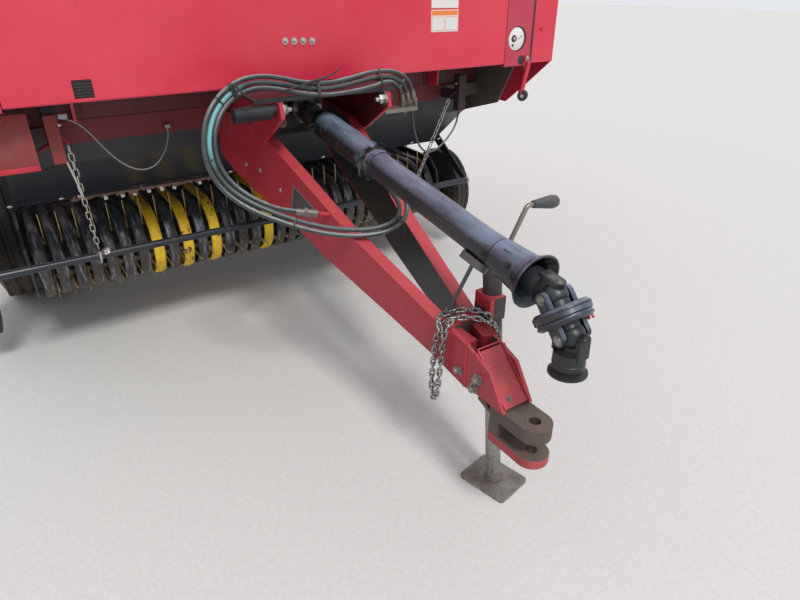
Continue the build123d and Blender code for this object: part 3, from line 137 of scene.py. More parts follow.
def buildWear():
    g, gin, gout = newGroup("fieldWear", [("Place", vectorSocket, None),
                                          ("Paint", colorSocket, (0.5, 0.03, 0.03, 1)),
                                          ("Faded", colorSocket, (0.6, 0.1, 0.1, 1)),
                                          ("Rust", colorSocket, (0.10, 0.045, 0.02, 1)),
                                          ("Dust", colorSocket, (0.30, 0.25, 0.19, 1)),
                                          ("Fade", floatSocket, 0.5), ("Chips", floatSocket, 0.3),
                                          ("Dusty", floatSocket, 0.4), ("Mud", floatSocket, 0.3),
                                          ("MudHeight", floatSocket, 0.6), ("Scuffs", floatSocket, 0.3),
                                          ("Gloss", floatSocket, 0.35)],
                            [("Color", colorSocket), ("Roughness", floatSocket), ("Height", floatSocket)])
    i = gin.outputs
    place = i["Place"]
    cloud = noise(g, place, 2.3, 5, 0.6)
    fine = noise(g, place, 34, 6, 0.7)
    color = mixColor(g, mathNode(g, "MULTIPLY", stretch(g, cloud, 0.3, 0.7), i["Fade"]), i["Paint"],
                     i["Faded"])
    # scuffs: pale streaks, drawn out along the piece
    streakPlace = addNode(g, "ShaderNodeMapping", {"Vector": place, "Scale": (9, 40, 60),
                                                   "Rotation": (0.3, 0.2, 0.4)})
    streak = noise(g, streakPlace.outputs[0], 1.6, 6, 0.75)
    scuff = mathNode(g, "MULTIPLY", stretch(g, streak, 0.62, 0.72), i["Scuffs"])
    color = mixColor(g, mathNode(g, "MULTIPLY", scuff, 0.55), color, i["Dust"])
    # chips
    chipField = noise(g, place, 21, 8, 0.62, 0.4)
    chipLimit = mathNode(g, "SUBTRACT", 0.74, mathNode(g, "MULTIPLY", i["Chips"], 0.16))
    chip = stretch(g, mathNode(g, "SUBTRACT", chipField, chipLimit), 0.0, 0.02)
    rustTone = mixColor(g, stretch(g, fine, 0.35, 0.65), i["Rust"], (0.22, 0.10, 0.045))
    color = mixColor(g, chip, color, rustTone)
    # dust where the face looks up
    settled = mathNode(g, "MULTIPLY", stretch(g, upward(g), 0.25, 0.95),
                       stretch(g, fine, 0.25, 0.7, 0.4, 1.0))
    dust = mathNode(g, "MULTIPLY", settled, i["Dusty"])
    grime = mathNode(g, "MULTIPLY", stretch(g, noise(g, place, 6, 6, 0.65), 0.45, 0.75),
                     mathNode(g, "MULTIPLY", i["Dusty"], 0.5))
    color = mixColor(g, mathNode(g, "MAXIMUM", dust, grime), color, i["Dust"])
    # mud low down
    height = addNode(g, "ShaderNodeSeparateXYZ", {0: place}).outputs[2]
    low = mathNode(g, "SUBTRACT", 1.0, stretch(g, mathNode(g, "DIVIDE", height, i["MudHeight"]), 0.3, 1.0))
    mud = mathNode(g, "MULTIPLY", mathNode(g, "MULTIPLY", low,
                                           stretch(g, noise(g, place, 11, 6, 0.7), 0.35, 0.62)), i["Mud"])
    color = mixColor(g, mud, color, (0.15, 0.115, 0.08))
    dull = mathNode(g, "MAXIMUM", chip, mathNode(g, "MAXIMUM", dust, mud))
    rough = mathNode(g, "ADD", i["Gloss"], mathNode(g, "MULTIPLY", dull, 0.45), True)
    rough = mathNode(g, "ADD", rough, mathNode(g, "MULTIPLY", stretch(g, fine, 0.3, 0.7), 0.10), True)
    raised = mathNode(g, "ADD", mathNode(g, "MULTIPLY", fine, 0.12), mathNode(g, "MULTIPLY", mud, 0.5))
    bumpUp = mathNode(g, "SUBTRACT", raised, mathNode(g, "MULTIPLY", chip, 0.35))
    for socket, value in (("Color", color), ("Roughness", rough), ("Height", bumpUp)):
        g.links.new(value, gout.inputs[socket])
    return g


fieldWear = buildWear()
paints = {}


def material(name, paint, faded=None, metallic=0.0, coat=0.0, bump=0.3, distance=0.0015, **wear):
    m = bpy.data.materials.new(name)
    m.use_nodes = True
    t = m.node_tree
    shader = t.nodes["Principled BSDF"]
    group = addNode(t, "ShaderNodeGroup", {"Place": objectPlace(t)}, node_tree=fieldWear)
    group.inputs["Paint"].default_value = (*paint, 1)
    group.inputs["Faded"].default_value = (*(faded or [c * 0.75 + 0.03 for c in paint]), 1)
    for socket, value in wear.items():
        group.inputs[socket].default_value = (*value, 1) if isinstance(value, tuple) else value
    t.links.new(group.outputs["Color"], shader.inputs["Base Color"])
    t.links.new(group.outputs["Roughness"], shader.inputs["Roughness"])
    lift = addNode(t, "ShaderNodeBump", {"Strength": bump, "Distance": distance,
                                         "Height": group.outputs["Height"]})
    t.links.new(lift.outputs[0], shader.inputs["Normal"])
    shader.inputs["Metallic"].default_value = metallic
    shader.inputs["Coat Weight"].default_value = coat
    shader.inputs["Coat Roughness"].default_value = 0.25
    paints[name] = m


material("redPaint", (0.56, 0.012, 0.037), (0.67, 0.045, 0.088), coat=0.25, bump=0.12, Fade=0.7, Chips=0.18,
         Dusty=0.08, Mud=0.5, MudHeight=0.5, Scuffs=0.22, Gloss=0.33, Dust=(0.36, 0.22, 0.19))
material("cornerRed", (0.40, 0.011, 0.037), (0.49, 0.045, 0.088), coat=0.2, bump=0.12, Fade=0.8, Chips=0.2,
         Dusty=0.15, Mud=0.5, MudHeight=0.5, Scuffs=0.3, Gloss=0.36, Dust=(0.36, 0.22, 0.19))
material("redWorn", (0.42, 0.009, 0.024), (0.52, 0.026, 0.046), coat=0.15, bump=0.35, Fade=0.8, Chips=0.50,
         Dusty=0.18, Mud=0.6, MudHeight=0.7, Scuffs=0.45, Gloss=0.42, Dust=(0.36, 0.27, 0.22))
for paintName in ("redLow", "bracketRed"):
    material(paintName, (0.20, 0.010, 0.012), (0.26, 0.03, 0.03), bump=0.35, Fade=0.8, Chips=0.75, Dusty=0.5,
             Mud=0.7, MudHeight=1.2, Scuffs=0.3, Gloss=0.6, Dust=(0.22, 0.16, 0.12))
material("blackPaint", (0.014, 0.014, 0.015), (0.03, 0.03, 0.032), bump=0.3, Fade=0.6, Chips=0.4, Dusty=0.30,
         Mud=0.6, MudHeight=0.8, Scuffs=0.35, Gloss=0.42)
material("beamRed", (0.12, 0.004, 0.009), (0.17, 0.009, 0.016), bump=0.3, Fade=0.8, Chips=0.4, Dusty=0.12,
         Mud=0.4, MudHeight=1.0, Scuffs=0.3, Gloss=0.5, Dust=(0.12, 0.065, 0.055))
material("skirtGrey", (0.060, 0.054, 0.049), (0.095, 0.085, 0.077), bump=0.3, Fade=0.9, Chips=0.2, Dusty=0.3,
         Mud=0.4, MudHeight=0.9, Scuffs=0.5, Gloss=0.5)
material("frameBlack", (0.011, 0.013, 0.017), (0.026, 0.031, 0.040), bump=0.2, Fade=0.7, Chips=0.15,
         Dusty=0.10, Mud=0.4, MudHeight=0.5, Scuffs=0.45, Gloss=0.27, Dust=(0.10, 0.115, 0.14))
material("bandBlack", (0.009, 0.009, 0.011), (0.018, 0.018, 0.021), bump=0.45, Fade=0.9, Chips=0.55,
         Dusty=0.12, Mud=1.0, MudHeight=0.56, Scuffs=1.0, Gloss=0.28, Rust=(0.085, 0.035, 0.015),
         Dust=(0.24, 0.27, 0.32))
material("bandYellow", (0.92, 0.60, 0.010), (0.82, 0.50, 0.015), bump=0.45, Fade=0.7, Chips=0.75, Dusty=0.5,
         Mud=0.75, MudHeight=0.56, Scuffs=0.3, Gloss=0.38, Rust=(0.07, 0.03, 0.012),
         Dust=(0.07, 0.040, 0.015))
material("wornSteel", (0.30, 0.285, 0.265), (0.17, 0.14, 0.115), metallic=0.85, bump=0.4, Fade=0.8,
         Chips=0.5, Dusty=0.3, Mud=0.3, MudHeight=0.6, Scuffs=0.5, Gloss=0.38)
material("rustySteel", (0.115, 0.090, 0.080), (0.080, 0.060, 0.052), metallic=0.4, bump=0.6, Fade=0.9,
         Chips=0.9, Dusty=0.35, Mud=0.3, MudHeight=0.5, Scuffs=0.6, Gloss=0.55)
material("brightBolt", (0.58, 0.57, 0.55), (0.42, 0.40, 0.37), metallic=0.95, bump=0.2, Fade=0.7, Chips=0.2,
         Dusty=0.2, Mud=0.1, MudHeight=0.4, Scuffs=0.3, Gloss=0.3)
material("galvanised", (0.42, 0.43, 0.43), (0.28, 0.285, 0.28), metallic=0.7, bump=0.25, Fade=1.0,
         Chips=0.12, Dusty=0.3, Mud=0.7, MudHeight=0.35, Scuffs=0.6, Gloss=0.42)
material("footRust", (0.11, 0.088, 0.07), (0.07, 0.05, 0.038), metallic=0.2, bump=0.6, Fade=0.9, Chips=0.8,
         Dusty=0.5, Mud=0.6, MudHeight=0.2, Scuffs=0.6, Gloss=0.65)
material("chainSteel", (0.52, 0.52, 0.51), (0.16, 0.155, 0.145), metallic=0.85, bump=0.4, Fade=1.0,
         Chips=0.55, Dusty=0.10, Mud=0.2, MudHeight=0.3, Scuffs=0.9, Gloss=0.30, Rust=(0.02, 0.016, 0.014))
material("chromeRod", (0.75, 0.75, 0.76), (0.7, 0.7, 0.7), metallic=1.0, bump=0.03, Fade=0.3, Chips=0.0,
         Dusty=0.08, Mud=0.0, Scuffs=0.05, Gloss=0.12)
# the guard's blue-grey dust, which settles most on upward faces, is partly dust and partly a painted
# reflection of the sky
material("guardPlastic", (0.010, 0.0105, 0.012), (0.013, 0.014, 0.018), bump=0.30, Fade=0.9, Chips=0.0,
         Dusty=0.10, Mud=0.2, MudHeight=0.5, Scuffs=0.6, Gloss=0.27, Dust=(0.25, 0.30, 0.38))
material("greasySteel", (0.022, 0.023, 0.026), (0.060, 0.062, 0.068), metallic=0.6, bump=0.5, Fade=1.0,
         Chips=0.2, Dusty=0.15, Mud=0.2, Scuffs=0.9, Gloss=0.32, Dust=(0.16, 0.165, 0.175),
         Rust=(0.05, 0.03, 0.02))
# the hoses' pale dust, which settles most on upward faces, is partly dust and partly painted highlight
material("hoseRubber", (0.022, 0.026, 0.026), (0.048, 0.056, 0.056), bump=0.12, Fade=0.8, Chips=0.0,
         Dusty=0.2, Mud=0.1, Scuffs=0.7, Gloss=0.24, Dust=(0.36, 0.39, 0.385))
material("hoseTeal", (0.10, 0.30, 0.31), (0.20, 0.42, 0.43), bump=0.12, Fade=0.8, Chips=0.0, Dusty=0.35,
         Mud=0.2, Scuffs=0.7, Gloss=0.30, Dust=(0.34, 0.42, 0.41))
material("strapRubber", (0.012, 0.012, 0.012), bump=0.2, Chips=0.0, Dusty=0.2, Gloss=0.55)
material("tyreRubber", (0.020, 0.020, 0.020), (0.036, 0.033, 0.030), bump=0.5, distance=0.002, Fade=0.9,
         Chips=0.0, Dusty=0.5, Mud=0.8, MudHeight=0.45, Scuffs=0.5, Gloss=0.68, Dust=(0.20, 0.17, 0.13))
material("beltRubber", (0.030, 0.027, 0.024), (0.055, 0.045, 0.036), bump=0.5, Fade=0.9, Chips=0.0,
         Dusty=0.5, Mud=0.2, Scuffs=0.8, Gloss=0.6, Dust=(0.23, 0.18, 0.12))
material("gripPlastic", (0.045, 0.046, 0.050), (0.07, 0.07, 0.075), bump=0.2, Chips=0.0, Dusty=0.2,
         Scuffs=0.4, Gloss=0.4)
material("dialWhite", (0.72, 0.72, 0.69), (0.60, 0.60, 0.56), bump=0.05, Chips=0.0, Dusty=0.1, Scuffs=0.1,
         Gloss=0.3)
material("lampRed", (0.42, 0.008, 0.008), (0.36, 0.01, 0.01), coat=0.8, bump=0.05, Chips=0.0, Dusty=0.15,
         Scuffs=0.1, Gloss=0.15)
material("lampAmber", (0.70, 0.22, 0.01), (0.6, 0.2, 0.02), coat=0.8, bump=0.05, Chips=0.0, Dusty=0.15,
         Scuffs=0.1, Gloss=0.15)
material("wireSheath", (0.20, 0.24, 0.27), (0.26, 0.29, 0.30), bump=0.1, Chips=0.0, Dusty=0.3, Scuffs=0.3,
         Gloss=0.45)
material("labelWhite", (0.70, 0.69, 0.67), (0.58, 0.55, 0.52), bump=0.05, Chips=0.0, Dusty=0.15, Scuffs=0.5,
         Gloss=0.4)
material("labelOrange", (0.75, 0.20, 0.02), (0.65, 0.22, 0.05), bump=0.05, Chips=0.0, Dusty=0.15, Scuffs=0.4,
         Gloss=0.4)
material("labelGrey", (0.42, 0.42, 0.40), (0.30, 0.29, 0.27), bump=0.1, Chips=0.3, Dusty=0.3, Scuffs=0.5,
         Gloss=0.5)
material("plateGrey", (0.055, 0.058, 0.060), (0.12, 0.12, 0.12), metallic=0.5, bump=0.1, Fade=0.8, Chips=0.2,
         Dusty=0.2, Scuffs=0.7, Gloss=0.4)
material("cupSteel", (0.34, 0.33, 0.32), (0.10, 0.10, 0.10), metallic=0.9, bump=0.3, Fade=1.0, Chips=0.3,
         Dusty=0.1, Scuffs=0.8, Gloss=0.30, Rust=(0.03, 0.025, 0.02))
material("nosePocket", (0.060, 0.040, 0.030), (0.11, 0.075, 0.055), bump=0.6, Chips=0.3, Dusty=0.5,
         Scuffs=0.5, Gloss=0.75, Dust=(0.16, 0.115, 0.085))
# a dark red standing for red paint in shade: painted shade
material("hemRed", (0.085, 0.006, 0.010), (0.12, 0.010, 0.014), bump=0.2, Fade=0.9, Chips=0.2, Dusty=0.25,
         Scuffs=0.3, Gloss=0.45, Dust=(0.09, 0.05, 0.04))
material("lipRust", (0.26, 0.155, 0.135), (0.14, 0.080, 0.065), metallic=0.1, bump=0.7, Fade=1.0, Chips=0.7,
         Dusty=0.3, Scuffs=0.6, Gloss=0.6, Rust=(0.05, 0.025, 0.018), Dust=(0.30, 0.22, 0.19))
# near black standing for the dark inside of holes and openings: painted shade
material("holeShade", (0.006, 0.006, 0.006), bump=0.1, Chips=0.0, Dusty=0.1, Gloss=0.8)
material("tineYellow", (0.56, 0.43, 0.15), (0.34, 0.22, 0.08), metallic=0.1, bump=0.2, Fade=0.9, Chips=0.8,
         Dusty=0.25, Mud=0.5, MudHeight=0.55, Scuffs=0.4, Gloss=0.45)

# marks over a paint, by a mask


def overPaint(paintName, tone, mask):
    tree = paints[paintName].node_tree
    base = tree.nodes["Principled BSDF"].inputs["Base Color"]
    tree.links.new(mixColor(tree, mask(tree), base.links[0].from_socket, tone), base)


# drawn-out marks: scratches along the bands, runs down a tube, black patches on a chain that are painted shade
# between its links, pale streaks along the guard that are scuffs and painted highlight; each with the scale it
# is drawn out by, the two ends of its noise, its tone and its share
marks = {
    "bandBlack": ((95, 11, 11), 0.55, 0.64, (0.27, 0.31, 0.37), 0.75),
    "bandYellow": ((70, 13, 13), 0.60, 0.66, (0.055, 0.028, 0.010), 0.9),
    "galvanised": ((95, 95, 4), 0.54, 0.66, (0.13, 0.13, 0.125), 0.8),
    # the chain's black patches are painted shade between its links
    "chainSteel": ((190, 190, 190), 0.50, 0.56, (0.012, 0.011, 0.011), 0.95),
    "redLow": ((26, 26, 3), 0.54, 0.70, (0.19, 0.115, 0.09), 0.55),
    "cupSteel": ((150, 150, 150), 0.55, 0.62, (0.02, 0.02, 0.02), 0.8),
    # the guard's pale blue streaks are scuffs and painted highlight along its length
    "guardPlastic": ((18, 5, 14), 0.56, 0.70, (0.17, 0.20, 0.25), 0.45),
    "redWorn": ((16, 7, 30), 0.62, 0.70, (0.60, 0.13, 0.16), 0.5),
}
for paintName, (scale, low, high, tone, share) in marks.items():
    overPaint(paintName, tone, lambda tree: mathNode(tree, "MULTIPLY",
                                                     stretch(tree, drawnNoise(tree, scale), low, high),
                                                     share))

# painted highlight: the guards and hoses turn pale on what faces up, a painted sheen standing for the sky's
# reflection
paintedTopHighlight = {"guardPlastic": ((0.17, 0.215, 0.30), (36, 4, 20)),
           "hoseRubber": ((0.30, 0.33, 0.33), (60, 60, 60))}
for paintName, (tone, scale) in paintedTopHighlight.items():
    overPaint(paintName, tone, lambda tree: mathNode(tree, "MULTIPLY",
                                                     stretch(tree, upward(tree), 0.35, 1.0),
                                                     stretch(tree, drawnNoise(tree, scale), 0.35, 0.62, 0.35,
                                                             1.0)))

# painted shade: faces of the drawbar turned to the machine's right are darkened, and the chain bracket and
# strut on the machine's left are darkened almost to black
paintedSideShade = {"redWorn": ("Normal", -0.6, -0.95, 0.55, (0.20, 0.006, 0.014)),
          "bracketRed": ("Object", 0.4, 0.5, 0.92, (0.010, 0.010, 0.012))}
for paintName, (source, start, end, most, tone) in paintedSideShade.items():
    overPaint(paintName, tone, lambda tree: stretch(tree, addNode(tree, "ShaderNodeSeparateXYZ",
                                                                  {0: objectPlace(tree, source)}).outputs[0],
                                                    start, end, 0, most))

# the middle hose keeps its pale blue only on its upper bend
blueHose = {"Paint": ((0.022, 0.026, 0.026), (0.09, 0.33, 0.35)),
            "Faded": ((0.048, 0.056, 0.056), (0.18, 0.46, 0.48))}
t = paints["hoseTeal"].node_tree
hosePlace = addNode(t, "ShaderNodeSeparateXYZ", {0: objectPlace(t)}).outputs
blueBend = mathNode(t, "MULTIPLY", stretch(t, hosePlace[0], -0.33, -0.40),
                    stretch(t, hosePlace[2], 1.02, 1.10))
for socket, (grey, blue) in blueHose.items():
    t.links.new(mixColor(t, blueBend, grey, blue),
                next(n for n in t.nodes if n.type == "GROUP").inputs[socket])

# the paint of each of the part's own nodes
nodePaint = {
    "cornerRed": ["corner_panels"],
    "redPaint": ["front_panel", "side_shield_left", "side_shield_right", "tailgate_sides", "tailgate_frame",
                 "chamber_sides"],
    "redWorn": ["drawbar", "rim_left", "rim_right"],
    "redLow": ["twine_box"],
    "bracketRed": ["chain_brackets"],
    "beamRed": ["main_frame"],
    "frameBlack": ["deflector", "pickup_frame", "wind_guard"],
    "skirtGrey": ["skirts"],
    "blackPaint": ["axle", "gearbox", "hood_frame", "front_rollers", "tailgate_rollers", "pickup_arms",
                   "jack_tube",
                   "cylinder_barrel_left", "cylinder_barrel_right"],
    "bandBlack": ["pickup_bands"],
    "bandYellow": ["yellow_bands"],
    "wornSteel": ["jack_crank", "hose_fittings", "safety_chain", "hanger_chains", "tine_reel"],
    "rustySteel": ["hitch_clevis"],
    "galvanised": ["jack_leg"],
    "chromeRod": ["cylinder_rod_left", "cylinder_rod_right"],
    "guardPlastic": ["rear_guard", "front_guard", "guard_bell", "joint_ring"],
    "greasySteel": ["tractor_yoke", "front_shaft", "rear_shaft", "hose_shelf"],
    "hoseRubber": ["hose_outer", "hose_inner", "thin_hose"],
    "hoseTeal": ["hose_middle"],
    "tyreRubber": ["tyre_left", "tyre_right", "gauge_wheel_left", "gauge_wheel_right"],
    "beltRubber": ["front_belts", "tailgate_belts"],
    "gripPlastic": ["crank_grip", "shaft_rest"],
    "dialWhite": ["bale_dial"],
    "lampRed": ["rear_lamps"],
    "wireSheath": ["sensor_wire"],
}
for paintName, members in nodePaint.items():
    for member in members:
        mesh = nodes[member].data
        mesh.materials.clear()
        mesh.materials.append(paints[paintName])

# pale floor

floorMesh = bpy.data.meshes.new("floor")
bm = bmesh.new()
bmesh.ops.create_grid(bm, x_segments=1, y_segments=1, size=40)
bm.to_mesh(floorMesh)
bm.free()
floor = bpy.data.objects.new("floor", floorMesh)
bpy.context.scene.collection.objects.link(floor)
floorPaint = bpy.data.materials.new("paleFloor")
floorPaint.use_nodes = True
t = floorPaint.node_tree
shader = t.nodes["Principled BSDF"]
speck = noise(t, objectPlace(t), 60, 6, 0.7)
speckled = mixColor(t, stretch(t, speck, 0.3, 0.7), (0.56, 0.545, 0.52), (0.64, 0.625, 0.60))
t.links.new(speckled, shader.inputs["Base Color"])
shader.inputs["Roughness"].default_value = 0.9
floorMesh.materials.append(floorPaint)
print("materials and stage ready")

# piece helpers


def keepPiece(name, bm, paint, body, hide=(), smooth=35):
    mesh = bpy.data.meshes.new(name)
    bm.to_mesh(mesh)
    bm.free()
    piece = bpy.data.objects.new(name, mesh)
    bpy.context.scene.collection.objects.link(piece)
    for p in (paint if isinstance(paint, (list, tuple)) else [paint]):
        mesh.materials.append(paints[p])
    if smooth:
        mesh.shade_smooth()
        mesh.set_sharp_from_angle(angle=radians(smooth))
    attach(piece, body)
    if hide:
        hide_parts(*hide)
    return piece


def nurbsLine(name, points, resolution):
    curve = bpy.data.curves.new(name, "CURVE")
    curve.dimensions = "3D"
    line = curve.splines.new("NURBS")
    line.points.add(len(points) - 1)
    for point, place in zip(line.points, points):
        point.co = (*place, 1)
    line.order_u = 3
    line.use_endpoint_u = True
    curve.resolution_u = resolution
    return curve


def placesOn(curve):
    bare = bpy.data.objects.new(curve.name, curve)
    bpy.context.scene.collection.objects.link(bare)
    bpy.context.view_layer.update()
    read = bpy.data.meshes.new_from_object(bare.evaluated_get(bpy.context.evaluated_depsgraph_get()))
    bpy.data.objects.remove(bare)
    return [v.co.copy() for v in read.vertices]


def readLine(points, resolution=12):
    return placesOn(nurbsLine("line", points, resolution))


def lineLength(line):
    return sum((b - a).length for a, b in zip(line, line[1:]))


# hoses and wire: the same routes as the part's tubes, in metres

hoses = {
    "hose_outer": {"radius": 0.008, "paint": "hoseRubber", "slot": "hose_rubber", "points": [
        (.362, -.984, 1.146), (.350, -.988, 1.189), (.320, -.992, 1.226), (.276, -.996, 1.248),
        (.220, -.999, 1.257), (.150, -1.0, 1.255), (.072, -1.001, 1.241), (-.018, -1.001, 1.231),
        (-.108, -1.001, 1.240), (-.190, -1.006, 1.262), (-.258, -1.013, 1.275), (-.325, -1.023, 1.274),
        (-.385, -1.037, 1.256), (-.436, -1.052, 1.224), (-.475, -1.066, 1.181), (-.500, -1.080, 1.130),
        (-.511, -1.093, 1.075), (-.506, -1.107, 1.018), (-.486, -1.124, .966), (-.452, -1.149, .924),
        (-.408, -1.181, .890), (-.352, -1.223, .860), (-.286, -1.273, .833), (-.215, -1.323, .812),
        (-.140, -1.368, .803), (-.070, -1.396, .803), (-.012, -1.408, .810), (.036, -1.404, .830),
        (.066, -1.385, .862), (.076, -1.350, .898), (.074, -1.298, .928), (.068, -1.230, .948),
        (.062, -1.150, .962), (.056, -1.060, .976), (.053, -.970, 1.0), (.051, -.892, 1.030),
        (.050, -.822, 1.045), (.050, -.762, 1.045)]},
    "hose_middle": {"radius": 0.008, "paint": "hoseTeal", "slot": "hose_rubber", "points": [
        (.340, -.980, 1.142), (.329, -.984, 1.180), (.302, -.989, 1.211), (.262, -.993, 1.230),
        (.210, -.997, 1.237), (.150, -.999, 1.234), (.074, -1.001, 1.222), (-.018, -1.0, 1.212),
        (-.111, -1.0, 1.222), (-.194, -1.005, 1.244), (-.259, -1.012, 1.256), (-.322, -1.021, 1.256),
        (-.377, -1.035, 1.239), (-.423, -1.049, 1.210), (-.459, -1.063, 1.171), (-.482, -1.076, 1.124),
        (-.492, -1.089, 1.074), (-.488, -1.103, 1.022), (-.469, -1.119, .975), (-.438, -1.143, .937),
        (-.396, -1.173, .905), (-.342, -1.214, .876), (-.277, -1.264, .849), (-.208, -1.313, .829),
        (-.136, -1.358, .821), (-.072, -1.386, .820), (-.020, -1.397, .828), (.022, -1.391, .843),
        (.050, -1.364, .864), (.060, -1.318, .888), (.055, -1.262, .914), (.047, -1.200, .934),
        (.040, -1.130, .950), (.034, -1.045, .964), (.030, -.960, .990), (.027, -.885, 1.017),
        (.025, -.820, 1.030), (.025, -.762, 1.030)]},
    "hose_inner": {"radius": 0.008, "paint": "hoseRubber", "slot": "hose_rubber", "points": [
        (.318, -.976, 1.134), (.308, -.981, 1.171), (.284, -.990, 1.199), (.246, -1.006, 1.217),
        (.205, -1.016, 1.219), (.162, -1.018, 1.208), (.076, -1.018, 1.198), (-.018, -1.018, 1.193),
        (-.114, -1.016, 1.204), (-.198, -1.011, 1.226), (-.260, -1.010, 1.238), (-.318, -1.020, 1.237),
        (-.368, -1.033, 1.221), (-.411, -1.047, 1.195), (-.443, -1.060, 1.160), (-.464, -1.073, 1.118),
        (-.473, -1.085, 1.073), (-.469, -1.098, 1.027), (-.453, -1.114, .985), (-.425, -1.136, .948),
        (-.385, -1.162, .915), (-.338, -1.184, .888), (-.290, -1.198, .870), (-.242, -1.207, .859)]},
    "thin_hose": {"radius": 0.0045, "paint": "hoseRubber", "slot": "hose_rubber", "points": [
        (.330, -.935, 1.140), (.333, -.933, 1.172), (.352, -.922, 1.200), (.386, -.900, 1.208),
        (.418, -.878, 1.190), (.440, -.860, 1.150), (.453, -.845, 1.100), (.468, -.825, 1.040),
        (.492, -.800, .980), (.532, -.770, .915), (.585, -.735, .860), (.650, -.700, .830),
        (.720, -.675, .832), (.785, -.655, .862), (.838, -.641, .900), (.870, -.633, .945),
        (.879, -.630, .993)]},
    "sensor_wire": {"radius": 0.0025, "paint": "wireSheath", "slot": "wire_sheath", "points": [
        (-.859, -.630, 1.141), (-.830, -.630, 1.137), (-.796, -.626, 1.117), (-.765, -.620, 1.080),
        (-.738, -.611, 1.033), (-.706, -.601, .985), (-.665, -.590, .940), (-.615, -.578, .912),
        (-.562, -.562, .914), (-.520, -.545, .945), (-.492, -.528, .986), (-.478, -.517, 1.020),
        (-.477, -.513, 1.044)]},
}
hoseLines = {}
for name, spec in hoses.items():
    curve = nurbsLine(name + "Line", spec["points"], 8)
    hoseLines[name] = placesOn(curve)
    curve.bevel_depth = spec["radius"]
    curve.bevel_resolution = 4
    curve.use_fill_caps = True
    hose = bpy.data.objects.new(name + "Look", curve)
    bpy.context.scene.collection.objects.link(hose)
    curve.materials.append(paints[spec["paint"]])
    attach(hose, "chassis")
    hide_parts(name)

# shapes that the pieces below share


def facing(place, axis, hint=(0, 0, 1)):
    z = Vector(axis).normalized()
    h = Vector(hint)
    if abs(z.dot(h.normalized())) > 0.99:
        h = Vector((1, 0, 0))
    x = h.cross(z).normalized()
    return Matrix.Translation(place) @ Matrix((x, z.cross(x), z)).transposed().to_4x4()


def polar(radius, angle, z=0):
    return Vector((radius * cos(angle), radius * sin(angle), z))


def cone(bm, foot, top, height, sides, matrix):
    return bmesh.ops.create_cone(bm, cap_ends=True, segments=sides, radius1=foot, radius2=top, depth=height,
                                 matrix=matrix)["verts"]


def circle(bm, radius, sides, matrix):
    return bmesh.ops.create_circle(bm, cap_ends=False, segments=sides, radius=radius, matrix=matrix)["verts"]


def withEdges(verts):
    return verts + list({e for v in verts for e in v.link_edges})


def rod(bm, a, b, radius, sides, paint=0):
    a, b = Vector(a), Vector(b)
    made = cone(bm, radius, radius, (b - a).length, sides, facing((a + b) / 2, b - a))
    for f in {f for v in made for f in v.link_faces}:
        f.material_index = paint


def bevelled(bm, edges, offset):
    bmesh.ops.bevel(bm, geom=edges, offset=offset, segments=2, affect="EDGES", profile=0.5, material=-1)


def slab(bm, size, matrix, edge=0.0, paint=0):
    made = bmesh.ops.create_cube(bm, size=1, matrix=matrix @ Matrix.Diagonal((*size, 1)))["verts"]
    faces = {f for v in made for f in v.link_faces}
    for f in faces:
        f.material_index = paint
    if edge:
        bevelled(bm, list({e for v in made for e in v.link_edges}), edge)


def slabs(bm, rows, edge=0.0, paint=0):
    for size, place in rows:
        slab(bm, size, Matrix.Translation(place), edge, paint)


def closeUp(bm, faces, paint):
    bmesh.ops.recalc_face_normals(bm, faces=faces)
    for f in faces:
        f.material_index = paint


def sheath(bm, loops, paint=0, ends=True, closed=True):
    # faces between neighbouring loops: without ends the last joins the first, and an unclosed loop stays open
    faces = [bm.faces.new(loops[0]), bm.faces.new(loops[-1])] if ends else []
    for a, b in zip(loops, loops[1:] + ([] if ends else loops[:1])):
        for n in range(len(a) if closed else len(a) - 1):
            m = (n + 1) % len(a)
            faces.append(bm.faces.new((a[n], a[m], b[m], b[n])))
    closeUp(bm, faces, paint)


def lathe(bm, profile, matrix, steps, paint=0):
    verts = [bm.verts.new((r, 0, z)) for r, z in profile]
    edges = [bm.edges.new(pair) for pair in zip(verts, verts[1:])]
    bmesh.ops.spin(bm, geom=verts + edges, cent=(0, 0, 0), axis=(0, 0, 1), dvec=(0, 0, 0), angle=2 * pi,
                   steps=steps, use_merge=True)
    stack, seen = list(verts), set(verts)
    while stack:
        for e in stack.pop().link_edges:
            for v in e.verts:
                if v not in seen:
                    seen.add(v)
                    stack.append(v)
    found = list(seen)
    bmesh.ops.remove_doubles(bm, verts=found, dist=1e-6)
    found = [v for v in found if v.is_valid]
    closeUp(bm, list({f for v in found for f in v.link_faces}), paint)
    bmesh.ops.transform(bm, matrix=matrix, verts=found)


def stamp(bm, template, matrix, paint=None):
    copy = template.copy()
    copy.transform(matrix)
    if paint is not None:
        for face in copy.polygons:
            face.material_index = paint
    bm.from_mesh(copy)
    bpy.data.meshes.remove(copy)


def asTemplate(bm, name):
    mesh = bpy.data.meshes.new(name)
    bm.to_mesh(mesh)
    bm.free()
    return mesh


def hexBolt(size, washer=1.9, nub=0.5):
    bm = bmesh.new()
    cone(bm, size * washer / 2, size * washer / 2, size * 0.14, 18, Matrix.Translation((0, 0, size * 0.07)))
    head = cone(bm, size * 0.577, size * 0.577, size * 0.6, 6, Matrix.Translation((0, 0, size * 0.44)))
    rim = [e for e in {e for v in head for e in v.link_edges} if all(v.co.z > size * 0.7 for v in e.verts)]
    bevelled(bm, rim, size * 0.07)
    cone(bm, size * 0.3, size * 0.26, size * nub, 12, Matrix.Translation((0, 0, size * (0.74 + nub / 2))))
    return asTemplate(bm, "bolt")


